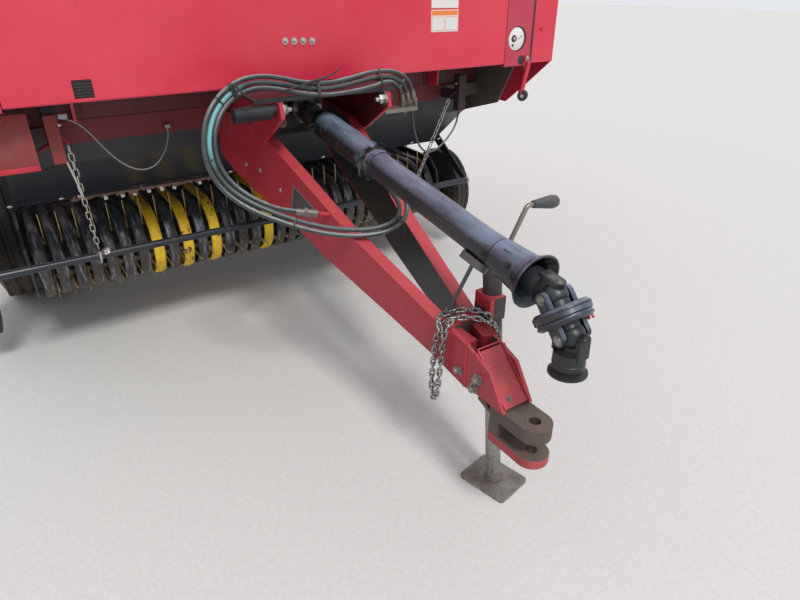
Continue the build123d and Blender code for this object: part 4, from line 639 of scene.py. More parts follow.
def onward(bm, edges, move):
    grown = bmesh.ops.extrude_edge_only(bm, edges=edges)["geom"]
    moved = [g for g in grown if isinstance(g, bmesh.types.BMVert)]
    bmesh.ops.translate(bm, verts=moved, vec=move)
    return moved, [g for g in grown if isinstance(g, bmesh.types.BMEdge)
                   and g.verts[0] in moved and g.verts[1] in moved]


def spunEdges(bm, geom, centre, axis, angle, steps):
    spun = bmesh.ops.spin(bm, geom=geom, cent=centre, axis=axis, dvec=(0, 0, 0), angle=angle, steps=steps,
                          use_merge=False)
    return [g for g in spun["geom_last"] if isinstance(g, bmesh.types.BMEdge)]


def chainLink(pitch, wire, width):
    bm = bmesh.new()
    r = (width - wire) / 2
    half = (pitch + wire) / 2 - r
    geom = withEdges(circle(bm, wire / 2, 8, Matrix.Translation((r, 0, half))))
    for way in (1, -1):
        bent = spunEdges(bm, geom, (0, 0, way * half), (0, 1, 0), -pi, 5)
        verts, edges = onward(bm, bent, (0, 0, -way * 2 * half))
        geom = verts + edges
    bmesh.ops.remove_doubles(bm, verts=bm.verts[:], dist=1e-6)
    bmesh.ops.recalc_face_normals(bm, faces=bm.faces[:])
    return asTemplate(bm, "link")


def stepAlong(line, distance):
    for a, b in zip(line, line[1:]):
        run = (b - a).length
        if distance <= run:
            return a + (b - a) * (distance / max(run, 1e-9)), (b - a).normalized()
        distance -= run
    return line[-1].copy(), (line[-1] - line[-2]).normalized()


def chainAlong(bm, points, pitch, wire, width, roll=45):
    line = readLine(points)
    count = round(lineLength(line) / pitch)
    link = chainLink(lineLength(line) / count, wire, width)
    for n in range(count):
        place, way = stepAlong(line, (n + 0.5) * lineLength(line) / count)
        wobble = random.uniform(-14, 14)
        stamp(bm, link, facing(place, way, (1, 0.02, 0.03))
              @ Matrix.Rotation(radians(roll + 90 * (n % 2) + wobble), 4, "Z"))


def tubeAlong(bm, line, radius, sides, paint=0):
    rings = []
    for n, place in enumerate(line):
        way = (line[min(n + 1, len(line) - 1)] - line[max(n - 1, 0)]).normalized()
        r = radius(n / (len(line) - 1)) if callable(radius) else radius
        rings.append(circle(bm, r, sides, facing(place, way, (0.31, 0.17, 0.93))))
    faces = []
    for a, b in zip(rings, rings[1:]):
        edges = list({e for v in a + b for e in v.link_edges
                      if all(u in a for u in e.verts) or all(u in b for u in e.verts)})
        faces += bmesh.ops.bridge_loops(bm, edges=edges)["faces"]
    for ring in (rings[0], rings[-1]):
        faces.append(bm.faces.new(ring))
    closeUp(bm, faces, paint)


random.seed(7)
bolt = {size: hexBolt(size / 1000) for size in (10, 13, 19, 24, 30, 36)}
bolt["nose"] = hexBolt(0.022, washer=1.7, nub=0.12)
bm = bmesh.new()
lathe(bm, [(0, 0.0042), (0.0045, 0.0040), (0.0080, 0.0028), (0.0098, 0.0008), (0.0100, 0), (0, 0)], Matrix(),
      20)
roundHead = asTemplate(bm, "roundHead")
sideways = Vector((1, 0, 0))
forward = Vector((0, -1, 0))
print("shapes ready")

# chains: the safety chain over the nose and the two that hold the wind guard

chains = {
    "safety": {"pitch": 0.0225, "wire": 0.0070, "width": 0.0200},
    "guard": {"pitch": 0.0355, "wire": 0.0056, "width": 0.021, "roll": 0},
    "firstStrand": [
        (.070, -1.868, .552), (.070, -1.868, .604), (.062, -1.862, .640), (.034, -1.850, .656),
        (.004, -1.826, .666), (-.032, -1.798, .664), (-.066, -1.786, .658), (-.090, -1.776, .630),
        (-.093, -1.762, .520), (-.093, -1.757, .405), (-.093, -1.772, .372), (-.093, -1.788, .405),
        (-.093, -1.800, .520), (-.092, -1.808, .640), (-.064, -1.812, .676)],
    "secondStrand": [
        (.072, -1.842, .606), (.068, -1.838, .648), (.044, -1.826, .672), (.010, -1.800, .680),
        (-.026, -1.776, .676), (-.058, -1.764, .666), (-.080, -1.770, .676), (-.098, -1.786, .662),
        (-.096, -1.800, .640)],
    "guardTop": (0.840, -0.600, 1.043), "guardFoot": (0.806, -0.358, 0.554),
}
bm = bmesh.new()
for strand in ("firstStrand", "secondStrand"):
    chainAlong(bm, chains[strand], **chains["safety"])
keepPiece("safetyChainLinks", bm, "chainSteel", "chassis", ["safety_chain"], smooth=50)

bm = bmesh.new()
for side in (-1, 1):
    top, foot = (Vector((side * x, y, z)) for x, y, z in (chains["guardTop"], chains["guardFoot"]))
    chainAlong(bm, [top, top.lerp(foot, 0.35), top.lerp(foot, 0.7), foot], **chains["guard"])
hangers = keepPiece("guardChains", bm, "brightBolt", "chassis", ["hanger_chains"], smooth=50)
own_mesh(hangers)
print("chains made")

# pickup: crowned stripper bands, each rolled at its edges

band = {"reelY": -0.060, "reelZ": 0.445, "radius": 0.170, "pitch": 0.068, "count": 31,
        "yellow": (7, 9, 11, 15), "rear": 0.200, "sheet": 0.0028, "inner": 0.88, "steps": 18,
        "crown": [(-.0245, -.011), (-.0225, -.0045), (-.017, -.0016), (-.008, -.0004), (0, 0),
                  (.008, -.0004), (.017, -.0016), (.0225, -.0045), (.0245, -.011)]}


def onReel(x):
    return x, band["reelY"], band["reelZ"]


def bandMesh():
    bm = bmesh.new()
    top = band["reelZ"] + band["radius"]
    outline = band["crown"] + [(x * band["inner"], drop - band["sheet"]) for x,
                               drop in reversed(band["crown"])]
    first = [bm.verts.new((x, band["rear"], top + drop)) for x, drop in outline]
    edges = [bm.edges.new(pair) for pair in zip(first, first[1:] + first[:1])]
    halfRun = (band["reelY"] - band["rear"]) / 2
    for way in (1, -1):
        for step in range(2):
            verts, edges = onward(bm, edges, (0, way * halfRun, 0))
        if way == 1:
            edges = spunEdges(bm, verts + edges, onReel(0), (1, 0, 0), pi, band["steps"])
    bmesh.ops.holes_fill(bm, edges=[e for e in bm.edges if e.is_boundary], sides=0)
    bmesh.ops.recalc_face_normals(bm, faces=bm.faces[:])
    return asTemplate(bm, "band")


bandShape = bandMesh()
for pieceName, node, paint, slotName, yellow in (
        ("stripperBands", "pickup_bands", "bandBlack", "black_paint", False),
        ("yellowStripperBands", "yellow_bands", "bandYellow", "yellow_paint", True)):
    bm = bmesh.new()
    for n in range(band["count"]):
        if (n in band["yellow"]) == yellow:
            stamp(bm, bandShape, Matrix.Translation(((n - band["count"] // 2) * band["pitch"], 0, 0)))
    keepPiece(pieceName, bm, paint, "pickup", [node], smooth=50)

# reel: spring tines on four bars, a coil where each starts

reel = {"shaft": 0.022, "shaftHalf": 1.074, "discs": (-1.044, -0.345, 0.345, 1.044), "discHalf": 0.004,
        "rim": 0.014, "bars": 4, "bar": 0.0125, "barRadius": 0.112, "half": 1.048, "start": 25, "lean": 18,
        "wire": 0.0029, "sides": 6, "coil": 0.016, "turns": 2.5, "coilSteps": 26, "tines": 30,
        "leg": ((-0.002, 0), (0.040, 0.0005), (0.092, -0.003), (0.1305, -0.011))}
bm = bmesh.new()
rod(bm, onReel(-reel["shaftHalf"]), onReel(reel["shaftHalf"]), reel["shaft"], 16)
for x in reel["discs"]:
    rod(bm, onReel(x - reel["discHalf"]), onReel(x + reel["discHalf"]), reel["barRadius"] + reel["rim"], 32)
tine = bmesh.new()
geom = withEdges(circle(tine, reel["wire"], reel["sides"], facing((0, reel["coil"], 0), (0, 0, 1))))
coiled = bmesh.ops.spin(tine, geom=geom, cent=(0, 0, 0), axis=(1, 0, 0), dvec=(reel["wire"] * 0.22, 0, 0),
                        angle=-2 * pi * reel["turns"], steps=reel["coilSteps"], use_merge=False)["geom_last"]
end = sum((g.co for g in coiled if isinstance(g, bmesh.types.BMVert)), Vector()) / reel["sides"]
bmesh.ops.translate(tine, verts=tine.verts[:], vec=(-end.x, 0, 0))
leg = [Vector((0, out, reel["coil"] + up)) for out, up in reel["leg"]]
tubeAlong(tine, leg, lambda share: reel["wire"] * (1 - 0.25 * share), reel["sides"])
tineShape = asTemplate(tine, "tine")
for n in range(reel["bars"]):
    angle = reel["start"] + 90 * n
    a, b = radians(angle), radians(angle - reel["lean"])
    place = Vector((0, band["reelY"] + reel["barRadius"] * cos(a),
                    band["reelZ"] + reel["barRadius"] * sin(a)))
    turned = Matrix(((1, 0, 0), (0, cos(b), -sin(b)), (0, sin(b), cos(b)))).to_4x4()
    rod(bm, place - sideways * reel["half"], place + sideways * reel["half"], reel["bar"], 10)
    for k in range(reel["tines"]):
        across = (k - (reel["tines"] - 1) / 2) * band["pitch"]
        stamp(bm, tineShape, Matrix.Translation(place + Vector((across, 0, 0))) @ turned, 1)
keepPiece("tineReelDetail", bm, ["blackPaint", "tineYellow"], "reel", ["tine_reel"], smooth=40)
print("pickup made")

# rows of bolts, beads of weld and thin plates


def boltAt(bm, size, place, axis, paint=None):
    stamp(bm, bolt[size], facing(place, axis) @ Matrix.Rotation(random.uniform(0, pi), 4, "Z"), paint)


def weld(bm, places, radius):
    line = [Vector(p) for p in places]
    count = max(4, round(lineLength(line) / 0.006))
    tubeAlong(bm, [stepAlong(line, lineLength(line) * n / count)[0] for n in range(count + 1)],
              lambda share: radius * (0.85 + 0.3 * random.random()), 6)


def flatPlate(bm, corners, axis, thick, paint=0):
    lift = Vector(axis).normalized() * thick
    sheath(bm, [[bm.verts.new(Vector(c) + move) for c in corners] for move in (Vector(), lift)], paint)


def shrunk(corners, share):
    middle = sum((Vector(c) for c in corners), Vector()) / len(corners)
    return [middle + (Vector(c) - middle) * share for c in corners]


# drawbar: bolts, welds and blank plates

arm = {"slope": 0.148, "face": 0.218, "faceAt": -0.785, "sheet": 0.0468, "skin": 0.0008, "noseHalf": 0.0571,
       "noseBolts": ((-1.845, 0.515), (-1.933, 0.529), (-1.919, 0.490)),
       "roundHeads": ((-0.671, 0.901), (-0.778, 0.899), (-0.914, 0.851)),
       "bracketBolt": (0.2075, -1.012, 1.160), "panelBolts": (-0.0746, -0.0391, -0.0031, 0.0336)}


def armFace(y):
    return arm["face"] + arm["slope"] * (y - arm["faceAt"])


armOut = Vector((-1, -arm["slope"], 0)).normalized()
bm = bmesh.new()
for y, z in arm["noseBolts"]:
    for side in (-1, 1):
        boltAt(bm, "nose", (side * arm["noseHalf"], y, z), (side, 0, 0), 1)
boltAt(bm, 10, (-0.0166, -2.0239, 0.4992), (0, -0.698, 0.716), 1)
for y, z in arm["roundHeads"]:
    for side in (-1, 1):
        stamp(bm, roundHead, facing((side * armFace(y), y, z), (side, -arm["slope"], 0)), 1)
for side in (-1, 1):
    x, y, z = arm["bracketBolt"]
    boltAt(bm, 30, (side * x, y, z), (-side, 0, 0))
for n, x in enumerate(arm["panelBolts"]):
    boltAt(bm, 13, (x, -0.7901, 1.3569 - 0.0016 * n), forward)
keepPiece("brightBolts", bm, ["brightBolt", "wornSteel"], "chassis", smooth=40)

# each weld on the nose: half width, radius and its run
noseWelds = ((0.0578, 0.0040, ((-1.8738, 0.470), (-1.8738, 0.540), (-1.8738, 0.612))),
             (0.0585, 0.0040, ((-1.873, 0.6155), (-1.800, 0.629), (-1.765, 0.6365))),
             (0.0450, 0.0035, ((-2.044, 0.484), (-1.975, 0.552), (-1.912, 0.611))))
bm = bmesh.new()
for side in (-1, 1):
    for x, radius, run in noseWelds:
        weld(bm, [(side * x, y, z) for y, z in run], radius)
for half, y, z, radius in ((0.056, -1.7595, 0.641, 0.0040), (0.044, -1.9055, 0.6105, 0.0030)):
    weld(bm, [(-half, y, z), (half, y, z)], radius)
keepPiece("weldBeads", bm, "redWorn", "chassis", smooth=80)

bm = bmesh.new()
for n, corners in enumerate((((-1.0086, .8946), (-1.1341, .8379), (-1.1163, .7917), (-0.9774, .7769)),
                             ((-.518, 1.074), (-.592, 1.078), (-.588, 1.012), (-.512, 1.006)))):
    onFace = [(-armFace(y), y, z) for y, z in corners]
    flatPlate(bm, onFace, armOut, arm["skin"])
    flatPlate(bm, shrunk(onFace, 0.88), armOut, 0.0012, 1 + n)
keepPiece("armPlates", bm, ["wornSteel", "plateGrey", "redWorn"], "chassis", smooth=0)

# brown dirt and painted shade on the sides, back and floor of the pocket between the nose plates
bm = bmesh.new()
slabs(bm, [((0.001, 0.094, 0.074), (side * 0.0443, -1.8490, 0.575)) for side in (-1, 1)])
slabs(bm, [((0.088, 0.001, 0.078), (0, -1.8008, 0.599)), ((0.088, 0.096, 0.002), (0, -1.8490, 0.545))])
keepPiece("pocketDirtAndShade", bm, "nosePocket", "chassis", smooth=0)

# painted shade: dark plates over the inner sides of the left arm and of the shelf's bracket
armSide = [(-.520, .890), (-.520, 1.088), (-.785, 1.052), (-1.059, .924), (-1.298, .809), (-1.586, .699),
           (-1.700, .657), (-1.700, .530), (-1.507, .582), (-1.198, .664), (-1.050, .719), (-.790, .790),
           (-.590, .850)]
bracketSide = [(-1.036, 1.140), (-1.030, 1.168), (-.998, 1.192), (-.640, 1.192), (-.506, 1.098),
               (-.506, 1.004), (-.800, 1.004), (-.878, 1.039)]
bm = bmesh.new()
flatPlate(bm, [(armFace(y) - arm["sheet"], y, z) for y, z in armSide], (-1, arm["slope"], 0), arm["skin"])
flatPlate(bm, [(0.2078, y, z) for y, z in bracketSide], (-1, 0, 0), arm["skin"], 1)
keepPiece("armInnerFace", bm, ["frameBlack", "hemRed"], "chassis", smooth=0)

# dark red sheet with ribs behind the front panel's edge, painted shade filling the gap under the panel
bm = bmesh.new()
slabs(bm, [((1.690, 0.003, 0.160), (0, -0.4960, 1.1860))], 0.0006)
slabs(bm, [((0.006, 0.006, 0.158), (-0.760 + 0.190 * n, -0.4985, 1.1860)) for n in range(9)], 0.001)
slabs(bm, [((0.230, 0.003, 0.200), (side * 0.975, -0.4760, 1.1300)) for side in (-1, 1)], 0.0006)
keepPiece("innerSheet", bm, "hemRed", "chassis", smooth=0)

# blank labels on the panel: corners across and up, thickness and paint
panelY = -0.7902
labels = [(((0.583, 1.3612), (0.7245, 1.3598), (0.7235, 1.4440), (0.582, 1.4450)), 0.0006, 0),
          (((0.586, 1.4235), (0.7205, 1.4225), (0.7200, 1.4410), (0.585, 1.4420)), 0.0009, 1)]
for low, high in ((0.586, 0.650), (0.656, 0.7205)):
    labels.append((((low, 1.3650), (high, 1.3645), (high, 1.4185), (low, 1.4190)), 0.0008, 1))
    low, high = low + 0.002, high - 0.002
    labels.append((((low, 1.3670), (high, 1.3665), (high, 1.4165), (low, 1.4170)), 0.0011, 0))
labels.append((((0.582, 1.4520), (0.7225, 1.4505), (0.7215, 1.5230), (0.581, 1.5245)), 0.0006, 0))
bm = bmesh.new()
for corners, thick, paint in labels:
    flatPlate(bm, [(x, panelY, z) for x, z in corners], forward, thick, paint)
keepPiece("blankLabels", bm, ["labelWhite", "labelOrange"], "chassis", smooth=0)

# vent, latch lever and dial on the front

vent = {"x": -0.7735, "back": -0.7848, "slat": -0.7868, "middle": 1.248, "lowest": 1.226, "step": 0.0092,
        "slats": 6}
bm = bmesh.new()
# the vent's back is near black, painted shade behind the slats
slabs(bm, [((0.078, 0.002, 0.076), (vent["x"], vent["back"], vent["middle"]))])
slabs(bm, [((0.060, 0.0012, 0.0030), (vent["x"], vent["slat"],
                                      vent["lowest"] + vent["step"] * n)) for n in range(vent["slats"])],
      0.0005, 1)
keepPiece("ventGrille", bm, ["holeShade", "strapRubber"], "chassis", smooth=0)

lever = {"line": ((1.150, -0.792, 1.212), (1.147, -0.806, 1.203), (1.136, -0.806, 1.160),
                  (1.122, -0.806, 1.105), (1.113, -0.803, 1.072)), "radius": 0.0095, "grow": 0.0035,
         "knobStart": (1.112, -0.818, 1.062), "knobEnd": (1.140, -0.796, 1.062),
         "pinStart": (1.107, -0.822, 1.062), "plug": (1.110, panelY, 1.222),
         "plate": (1.146, -0.7935, 1.212)}
bm = bmesh.new()
tubeAlong(bm, [Vector(p) for p in lever["line"]], lambda share: lever["radius"] + lever["grow"] * share, 8)
slabs(bm, [((0.030, 0.006, 0.060), lever["plate"])], 0.002)
rod(bm, lever["knobStart"], lever["knobEnd"], 0.0240, 20, 1)
rod(bm, lever["pinStart"], lever["knobStart"], 0.0085, 12, 2)
lathe(bm, [(0, 0.0012), (0.0190, 0.0012), (0.0205, 0.0004), (0.0205, 0)], facing(lever["plug"], forward), 24,
      1)
slabs(bm, [((0.0110, 0.0012, 0.770), (side * 1.1705, -0.7906, 1.595)) for side in (-1, 1)], 0, 1)
boltAt(bm, 10, (1.146, -0.7962, 1.228), forward, 2)
keepPiece("latchLever", bm, ["redWorn", "strapRubber", "brightBolt"], "chassis", smooth=40)

# each disc of the dial: across, up, radius, height and paint
dial = {"place": (1.078, -0.7857, 1.314), "needle": -62, "discs": ((-0.0050, 0, 0.0495, 0.0014, 0),
                                                                   (-0.0200, 0.0020, 0.0150, 0.0044, 1),
                                                                   (-0.0200, 0.0020, 0.0070, 0.0060, 2),
                                                                   (-0.0250, -0.0270, 0.0062, 0.0030, 1))}
bm = bmesh.new()
atDial = facing(dial["place"], forward)
lathe(bm, [(0, -0.008), (0.0590, -0.008), (0.0590, 0.0006), (0.0545, 0.0006), (0, 0.0002)], atDial, 40, 1)
for across, up, radius, high, paint in dial["discs"]:
    lathe(bm, [(0, high), (radius - 0.001, high), (radius, high - 0.0008), (radius, 0)],
          atDial @ Matrix.Translation((across, up, 0)), 32, paint)
atNeedle = (atDial @ Matrix.Rotation(radians(dial["needle"]), 4, "Z")
            @ Matrix.Translation((0.004, 0.018, 0.0018)))
slab(bm, (0.0030, 0.0300, 0.0010), atNeedle, 0, 1)
keepPiece("dialFace", bm, ["dialWhite", "strapRubber", "labelGrey"], "chassis", ["bale_dial"],
          smooth=40)
print("front details made")

# straps round the hoses, and the fittings at the hoses' ends

strap = {"radius": 0.0083, "sheet": 0.0014, "steps": 24, "tail": 0.0042}


def strapAround(bm, centres, way, width):
    turned = facing(sum(centres, Vector()) / len(centres), way.normalized())
    flat = [turned.inverted() @ c for c in centres]
    rings = []
    for n in range(strap["steps"]):
        out = polar(1, 2 * pi * n / strap["steps"])
        far = max(flat, key=lambda c: c.dot(out))
        near = Vector((far.x, far.y, 0)) + out * strap["radius"]
        rings.append([bm.verts.new(turned @ (near + out * lift + Vector((0, 0, along))))
                      for lift, along in ((0, -width / 2), (strap["sheet"], -width / 2),
                                          (strap["sheet"], width / 2), (0, width / 2))])
    sheath(bm, rings, ends=False)


def nearest(line, place):
    n = min(range(1, len(line) - 1), key=lambda k: (line[k] - Vector(place)).length)
    return line[n], line[n + 1] - line[n - 1]


def fittingOn(bm, line, rods):
    # each rod: its start and end past the line's first place, its radius and its sides
    back = (line[0] - line[2]).normalized()
    for start, end, radius, sides in rods:
        rod(bm, line[0] + back * start, line[0] + back * end, radius, sides)


two = ("hose_outer", "hose_middle")
three = (*two, "hose_inner")
strapPlaces = [((-.385, -1.037, 1.256), three, 0.016), ((-.436, -1.052, 1.224), two, 0.005),
               ((-.062, -1.001, 1.233), three, 0.012), ((.190, -1.0, 1.257), three, 0.007),
               ((-.300, -1.262, .838), two, 0.006), ((.030, -1.404, .826), two, 0.009),
               ((.071, -1.262, .940), two, 0.007), ((-.505, -1.098, 1.05), two, 0.004)]
strapTails = ([(-.372, -1.050, 1.262), (-.355, -1.062, 1.236), (-.330, -1.066, 1.214),
               (-.312, -1.060, 1.206)], [(-.062, -1.004, 1.243), (-.040, -1.014, 1.252),
                                         (-.005, -1.020, 1.262), (.030, -1.022, 1.284)],
              [(-.060, -1.012, 1.250), (-.120, -1.022, 1.236), (-.190, -1.026, 1.226)],
              [(.062, -1.280, .920), (.075, -1.290, .890), (.082, -1.300, .868)],
              [(.030, -1.412, .818), (.034, -1.416, .795), (.028, -1.414, .772)])
bm = bmesh.new()
for place, wanted, width in strapPlaces:
    found = [nearest(hoseLines[name], place) for name in wanted]
    strapAround(bm, [f[0] for f in found], found[0][1], width)
for tail in strapTails:
    tubeAlong(bm, readLine(tail, 5), lambda share: strap["tail"] * (1 - 0.45 * share), 6)
keepPiece("hoseStraps", bm, "strapRubber", "chassis", smooth=40)

fittings = {"shelf": ((-0.030, 0.001, 0.0108, 14), (0.001, 0.016, 0.0142, 6), (0.020, 0.028, 0.0128, 6)),
            "coupler": ((-0.026, 0, 0.0115, 14), (0.002, 0.014, 0.0165, 6)),
            "grips": (0.020, 0.026, 0.032, 0.038), "panel": ((-0.024, 0, 0.0110, 14),
                                                             (0.001, 0.014, 0.0140, 6))}
bm = bmesh.new()
for name in three:
    fittingOn(bm, hoseLines[name], fittings["shelf"])
fittingOn(bm, hoseLines["hose_inner"][::-1],
          (*fittings["coupler"], *((at, at + 0.003, 0.0148, 18) for at in fittings["grips"])))
for name in two:
    fittingOn(bm, hoseLines[name][::-1], fittings["panel"])
slabs(bm, [((0.030, 0.018, 0.016), (-0.838, -0.630, 1.1466))], 0.003, 1)
slabs(bm, [((0.012, 0.013, 0.012), (-0.860, -0.630, 1.1460))], 0.002, 2)
keepPiece("hoseNuts", bm, ["wornSteel", "labelGrey", "gripPlastic"], "chassis", smooth=40)
print("hose details made")

# power shaft: torn guard edge, collar, bell bolts, bearing cups

shaft = {"rear": Vector((0, -0.872, 1.081)), "drop": 9.6, "bend": 39.2, "cross": 1.269, "span": 0.104,
         "steps": 44, "sheet": 0.0035, "bite": (18, 25), "flapRadius": 0.0520, "flapStart": 0.386,
         "flapHalf": 0.24, "flapSheet": 0.0028, "bellBolt": 295, "forkReach": 0.0440, "crossReach": 0.0490,
         "ball": 0.0340, "ring": 0.0665}


def dropped(angle):
    return Vector((0, -cos(radians(angle)), -sin(radians(angle))))


shaftWay, middleWay, yokeWay = (dropped(shaft["drop"] + n * shaft["bend"]) for n in range(3))
firstCross = shaft["rear"] + shaftWay * shaft["cross"]
secondCross = firstCross + middleWay * shaft["span"]
ringMiddle = (firstCross + secondCross) / 2
alongShaft = facing(shaft["rear"], shaftWay, (0, 1, 0))
cup = [(0, 0.0022), (0.0085, 0.0022), (0.0100, 0.0004), (0.0128, 0.0004), (0.0140, -0.0010),
       (0.0140, -0.0030)]


def raggedRing(bm, radius, start, end, ragged):
    loops = []
    for lift, along, jag in ((0, start, 0), (shaft["sheet"], start, 0), (shaft["sheet"], end, ragged),
                             (0, end, ragged)):
        loops.append([])
        for n in range(shaft["steps"]):
            random.seed(n * 7 + 3)
            drift = jag * (random.random() - 0.5 - (1.1 if shaft["bite"][0] < n < shaft["bite"][1] else 0))
            loops[-1].append(bm.verts.new(alongShaft @ polar(radius + lift, 2 * pi * n / shaft["steps"],
                                                             along + drift)))
    sheath(bm, loops, ends=False)


def bearingCup(bm, cross, out, reach, paint=0):
    lathe(bm, cup, facing(cross + out * reach, out), 20, paint)


# each flap of the torn edge: its turn, how far it reaches and how far it lifts
flaps = ((-62, 0.040, 0.016), (-20, 0.030, 0.010), (24, 0.046, 0.020), (70, 0.034, 0.012),
         (118, 0.026, 0.008), (190, 0.030, 0.010), (250, 0.036, 0.014))
bm = bmesh.new()
raggedRing(bm, 0.0505, 0.368, 0.408, 0.026)
for along in (0.064, 0.108, 0.240):
    lathe(bm, [(0.0515, along), (0.0530, along + 0.002), (0.0530, along + 0.008), (0.0515, along + 0.010)],
          alongShaft, 40)
lathe(bm, [(0.0450, 0.402), (0.0478, 0.404), (0.0478, 0.424), (0.0450, 0.426)], alongShaft, 40, 1)
for turn, reach, lift in flaps:
    rows = []
    for share in (0, 0.35, 0.7, 1.0):
        r, half = shaft["flapRadius"] + lift * share ** 2, shaft["flapHalf"] * (1 - 0.55 * share)
        z = shaft["flapStart"] + reach * share
        rows.append([bm.verts.new(alongShaft @ polar(r + thick, radians(turn) + half * w, z))
                     for thick, ways in ((0, (-1, 0, 1)), (shaft["flapSheet"], (1, 0, -1))) for w in ways])
    sheath(bm, rows)
keepPiece("rearGuardEdges", bm, ["guardPlastic", "cupSteel"], "shaft_rear", smooth=35)

bm = bmesh.new()
raggedRing(bm, 0.0447, 0.428, 0.452, 0.006)
lathe(bm, [(0.0447, 1.024), (0.0466, 1.026), (0.0466, 1.054), (0.0478, 1.056), (0.0478, 1.0600),
           (0.0447, 1.0602)], alongShaft, 44)
for n in range(4):
    out = alongShaft.to_3x3() @ polar(1, radians(90 * n + 25))
    slab(bm, (0.014, 0.026, 0.004), facing(shaft["rear"] + shaftWay * 1.110 + out * 0.0525, out, shaftWay),
         0.001)
keepPiece("frontGuardRings", bm, "guardPlastic", "shaft_front", smooth=35)

bm = bmesh.new()
upShaft = shaftWay.cross(sideways)
boltOut = (upShaft * cos(radians(shaft["bellBolt"])) + sideways * sin(radians(shaft["bellBolt"]))).normalized()
for way in (1, -1):
    boltAt(bm, 13, shaft["rear"] + shaftWay * 1.140 + boltOut * way * 0.0548, boltOut * way, 0)
for way in (1, -1):
    bearingCup(bm, firstCross, upShaft * way, shaft["forkReach"], 1)
    atCap = facing(firstCross + upShaft * way * 0.0432 - shaftWay * 0.022, upShaft * way, shaftWay)
    slab(bm, (0.022, 0.034, 0.003), atCap, 0.001, 1)
keepPiece("frontForkCups", bm, ["greasySteel", "cupSteel"], "shaft_front", smooth=35)

bm = bmesh.new()
for cross in (firstCross, secondCross):
    for way in (1, -1):
        bearingCup(bm, cross, sideways * way, shaft["crossReach"])
    bmesh.ops.create_uvsphere(bm, u_segments=24, v_segments=14, radius=shaft["ball"],
                              matrix=Matrix.Translation(cross))
rod(bm, firstCross, secondCross, 0.0300, 24, 1)
for v in bm.verts:
    if min((v.co - firstCross).length, (v.co - secondCross).length) < shaft["ball"] + 0.0005:
        for f in v.link_faces:
            f.material_index = 1
atRing = facing(ringMiddle, middleWay, (0, 1, 0))
for along, r in ((-0.0215, 0.0640), (0.0215, 0.0620)):
    lathe(bm, [(r - 0.004, along * 0.97), (r - 0.003, along * 1.04), (r + 0.002, along * 1.04),
               (r + 0.003, along * 0.97)], atRing, 48, 1)
lathe(bm, [(0.0747, -0.0125), (0.0757, -0.0105), (0.0757, -0.0085), (0.0747, -0.0065)], atRing, 48, 1)
for turn, along, size in ((64, -0.024, (0.018, 0.011, 0.007)), (82, -0.017, (0.012, 0.016, 0.005)),
                          (98, 0.024, (0.016, 0.010, 0.007)), (118, 0.026, (0.011, 0.013, 0.005))):
    out = (sideways * sin(radians(turn)) + sideways.cross(middleWay) * cos(radians(turn))).normalized()
    atShard = facing(ringMiddle + out * shaft["ring"] + middleWay * along, out, middleWay)
    slab(bm, size, atShard @ Matrix.Rotation(radians(turn * 3), 4, "Z"), 0.0015, 2)
keepPiece("ringDetail", bm, ["cupSteel", "greasySteel", "lampRed"], "joint_middle", smooth=35)

bm = bmesh.new()
upYoke = sideways.cross(yokeWay)
for way in (1, -1):
    bearingCup(bm, secondCross, upYoke * way, shaft["forkReach"])
atYoke = facing(secondCross, yokeWay, (0, 1, 0))
for n in range(18):
    turned = atYoke @ Matrix.Rotation(2 * pi * n / 18, 4, "Z")
    slab(bm, (0.003, 0.0035, 0.030), turned @ Matrix.Translation((0.0168, 0, 0.104)), 0.0006)
lathe(bm, [(0.0405, 0.0700), (0.0420, 0.0715), (0.0420, 0.0755), (0.0405, 0.0770)], atYoke, 40)
keepPiece("yokeDetail", bm, ["greasySteel"], "yoke", smooth=35)

# gearbox snout and rear joint

bm = bmesh.new()
atSnout = facing((0, -0.770, 1.112), forward, (0, 0, 1))
lathe(bm, [(0.0250, 0.0008), (0.0440, 0.0008), (0.0460, 0.0060), (0.0540, 0.0060), (0.0600, 0.0020),
           (0.0600, -0.0240), (0.0560, -0.0260)], atSnout, 36)
for n in range(6):
    boltAt(bm, 13, atSnout @ polar(0.050, n * pi / 3, 0.0058), forward, 1)
for x in (-0.082, 0.082):
    for z in (1.052, 1.172):
        boltAt(bm, 19, (x, -0.7155, z), forward, 1)
boltAt(bm, 24, (0.055, -0.640, 1.1922), (0, 0, 1), 1)
keepPiece("gearboxDetail", bm, ["blackPaint", "wornSteel"], "chassis", smooth=35)

# clevis: worn rings round the bores, red edge of the lower ear

ear = {"y": -2.114, "radius": 0.0500, "back": -1.9860, "grow": 1.016, "proud": 0.0008}
bm = bmesh.new()
for z, way in ((0.4730, 1), (0.4280, -1), (0.3700, 1), (0.3420, -1)):
    lathe(bm, [(0.0172, 0.0), (0.0176, 0.0012), (0.0290, 0.0014), (0.0300, 0.0)],
          facing((0, ear["y"], z), (0, 0, way)), 32)
weld(bm, [(-0.0445, -1.984, 0.4755), (-0.020, -1.984, 0.4760), (0.020, -1.984, 0.4760),
          (0.0445, -1.984, 0.4755)], 0.0045)
arc = [(ear["radius"] * cos(-pi * n / 20), ear["y"] + ear["radius"] * sin(-pi * n / 20)) for n in range(21)]
outline = [(ear["radius"], ear["back"]), *arc, (-ear["radius"], ear["back"])]
outer = [(x * ear["grow"], y - (ear["proud"] if y < ear["y"] else 0)) for x, y in outline]
loops = [[bm.verts.new((x, y, z)) for x, y in line] for line, z in
         ((outline, 0.3425), (outer, 0.3435), (outer, 0.3685), (outline, 0.3695))]
sheath(bm, loops, 1, ends=False, closed=False)
keepPiece("clevisDetail", bm, ["rustySteel", "redWorn"], "chassis", smooth=40)

# jack: weld round the foot, cap, clamp sleeve and side plates of the tube, pivot

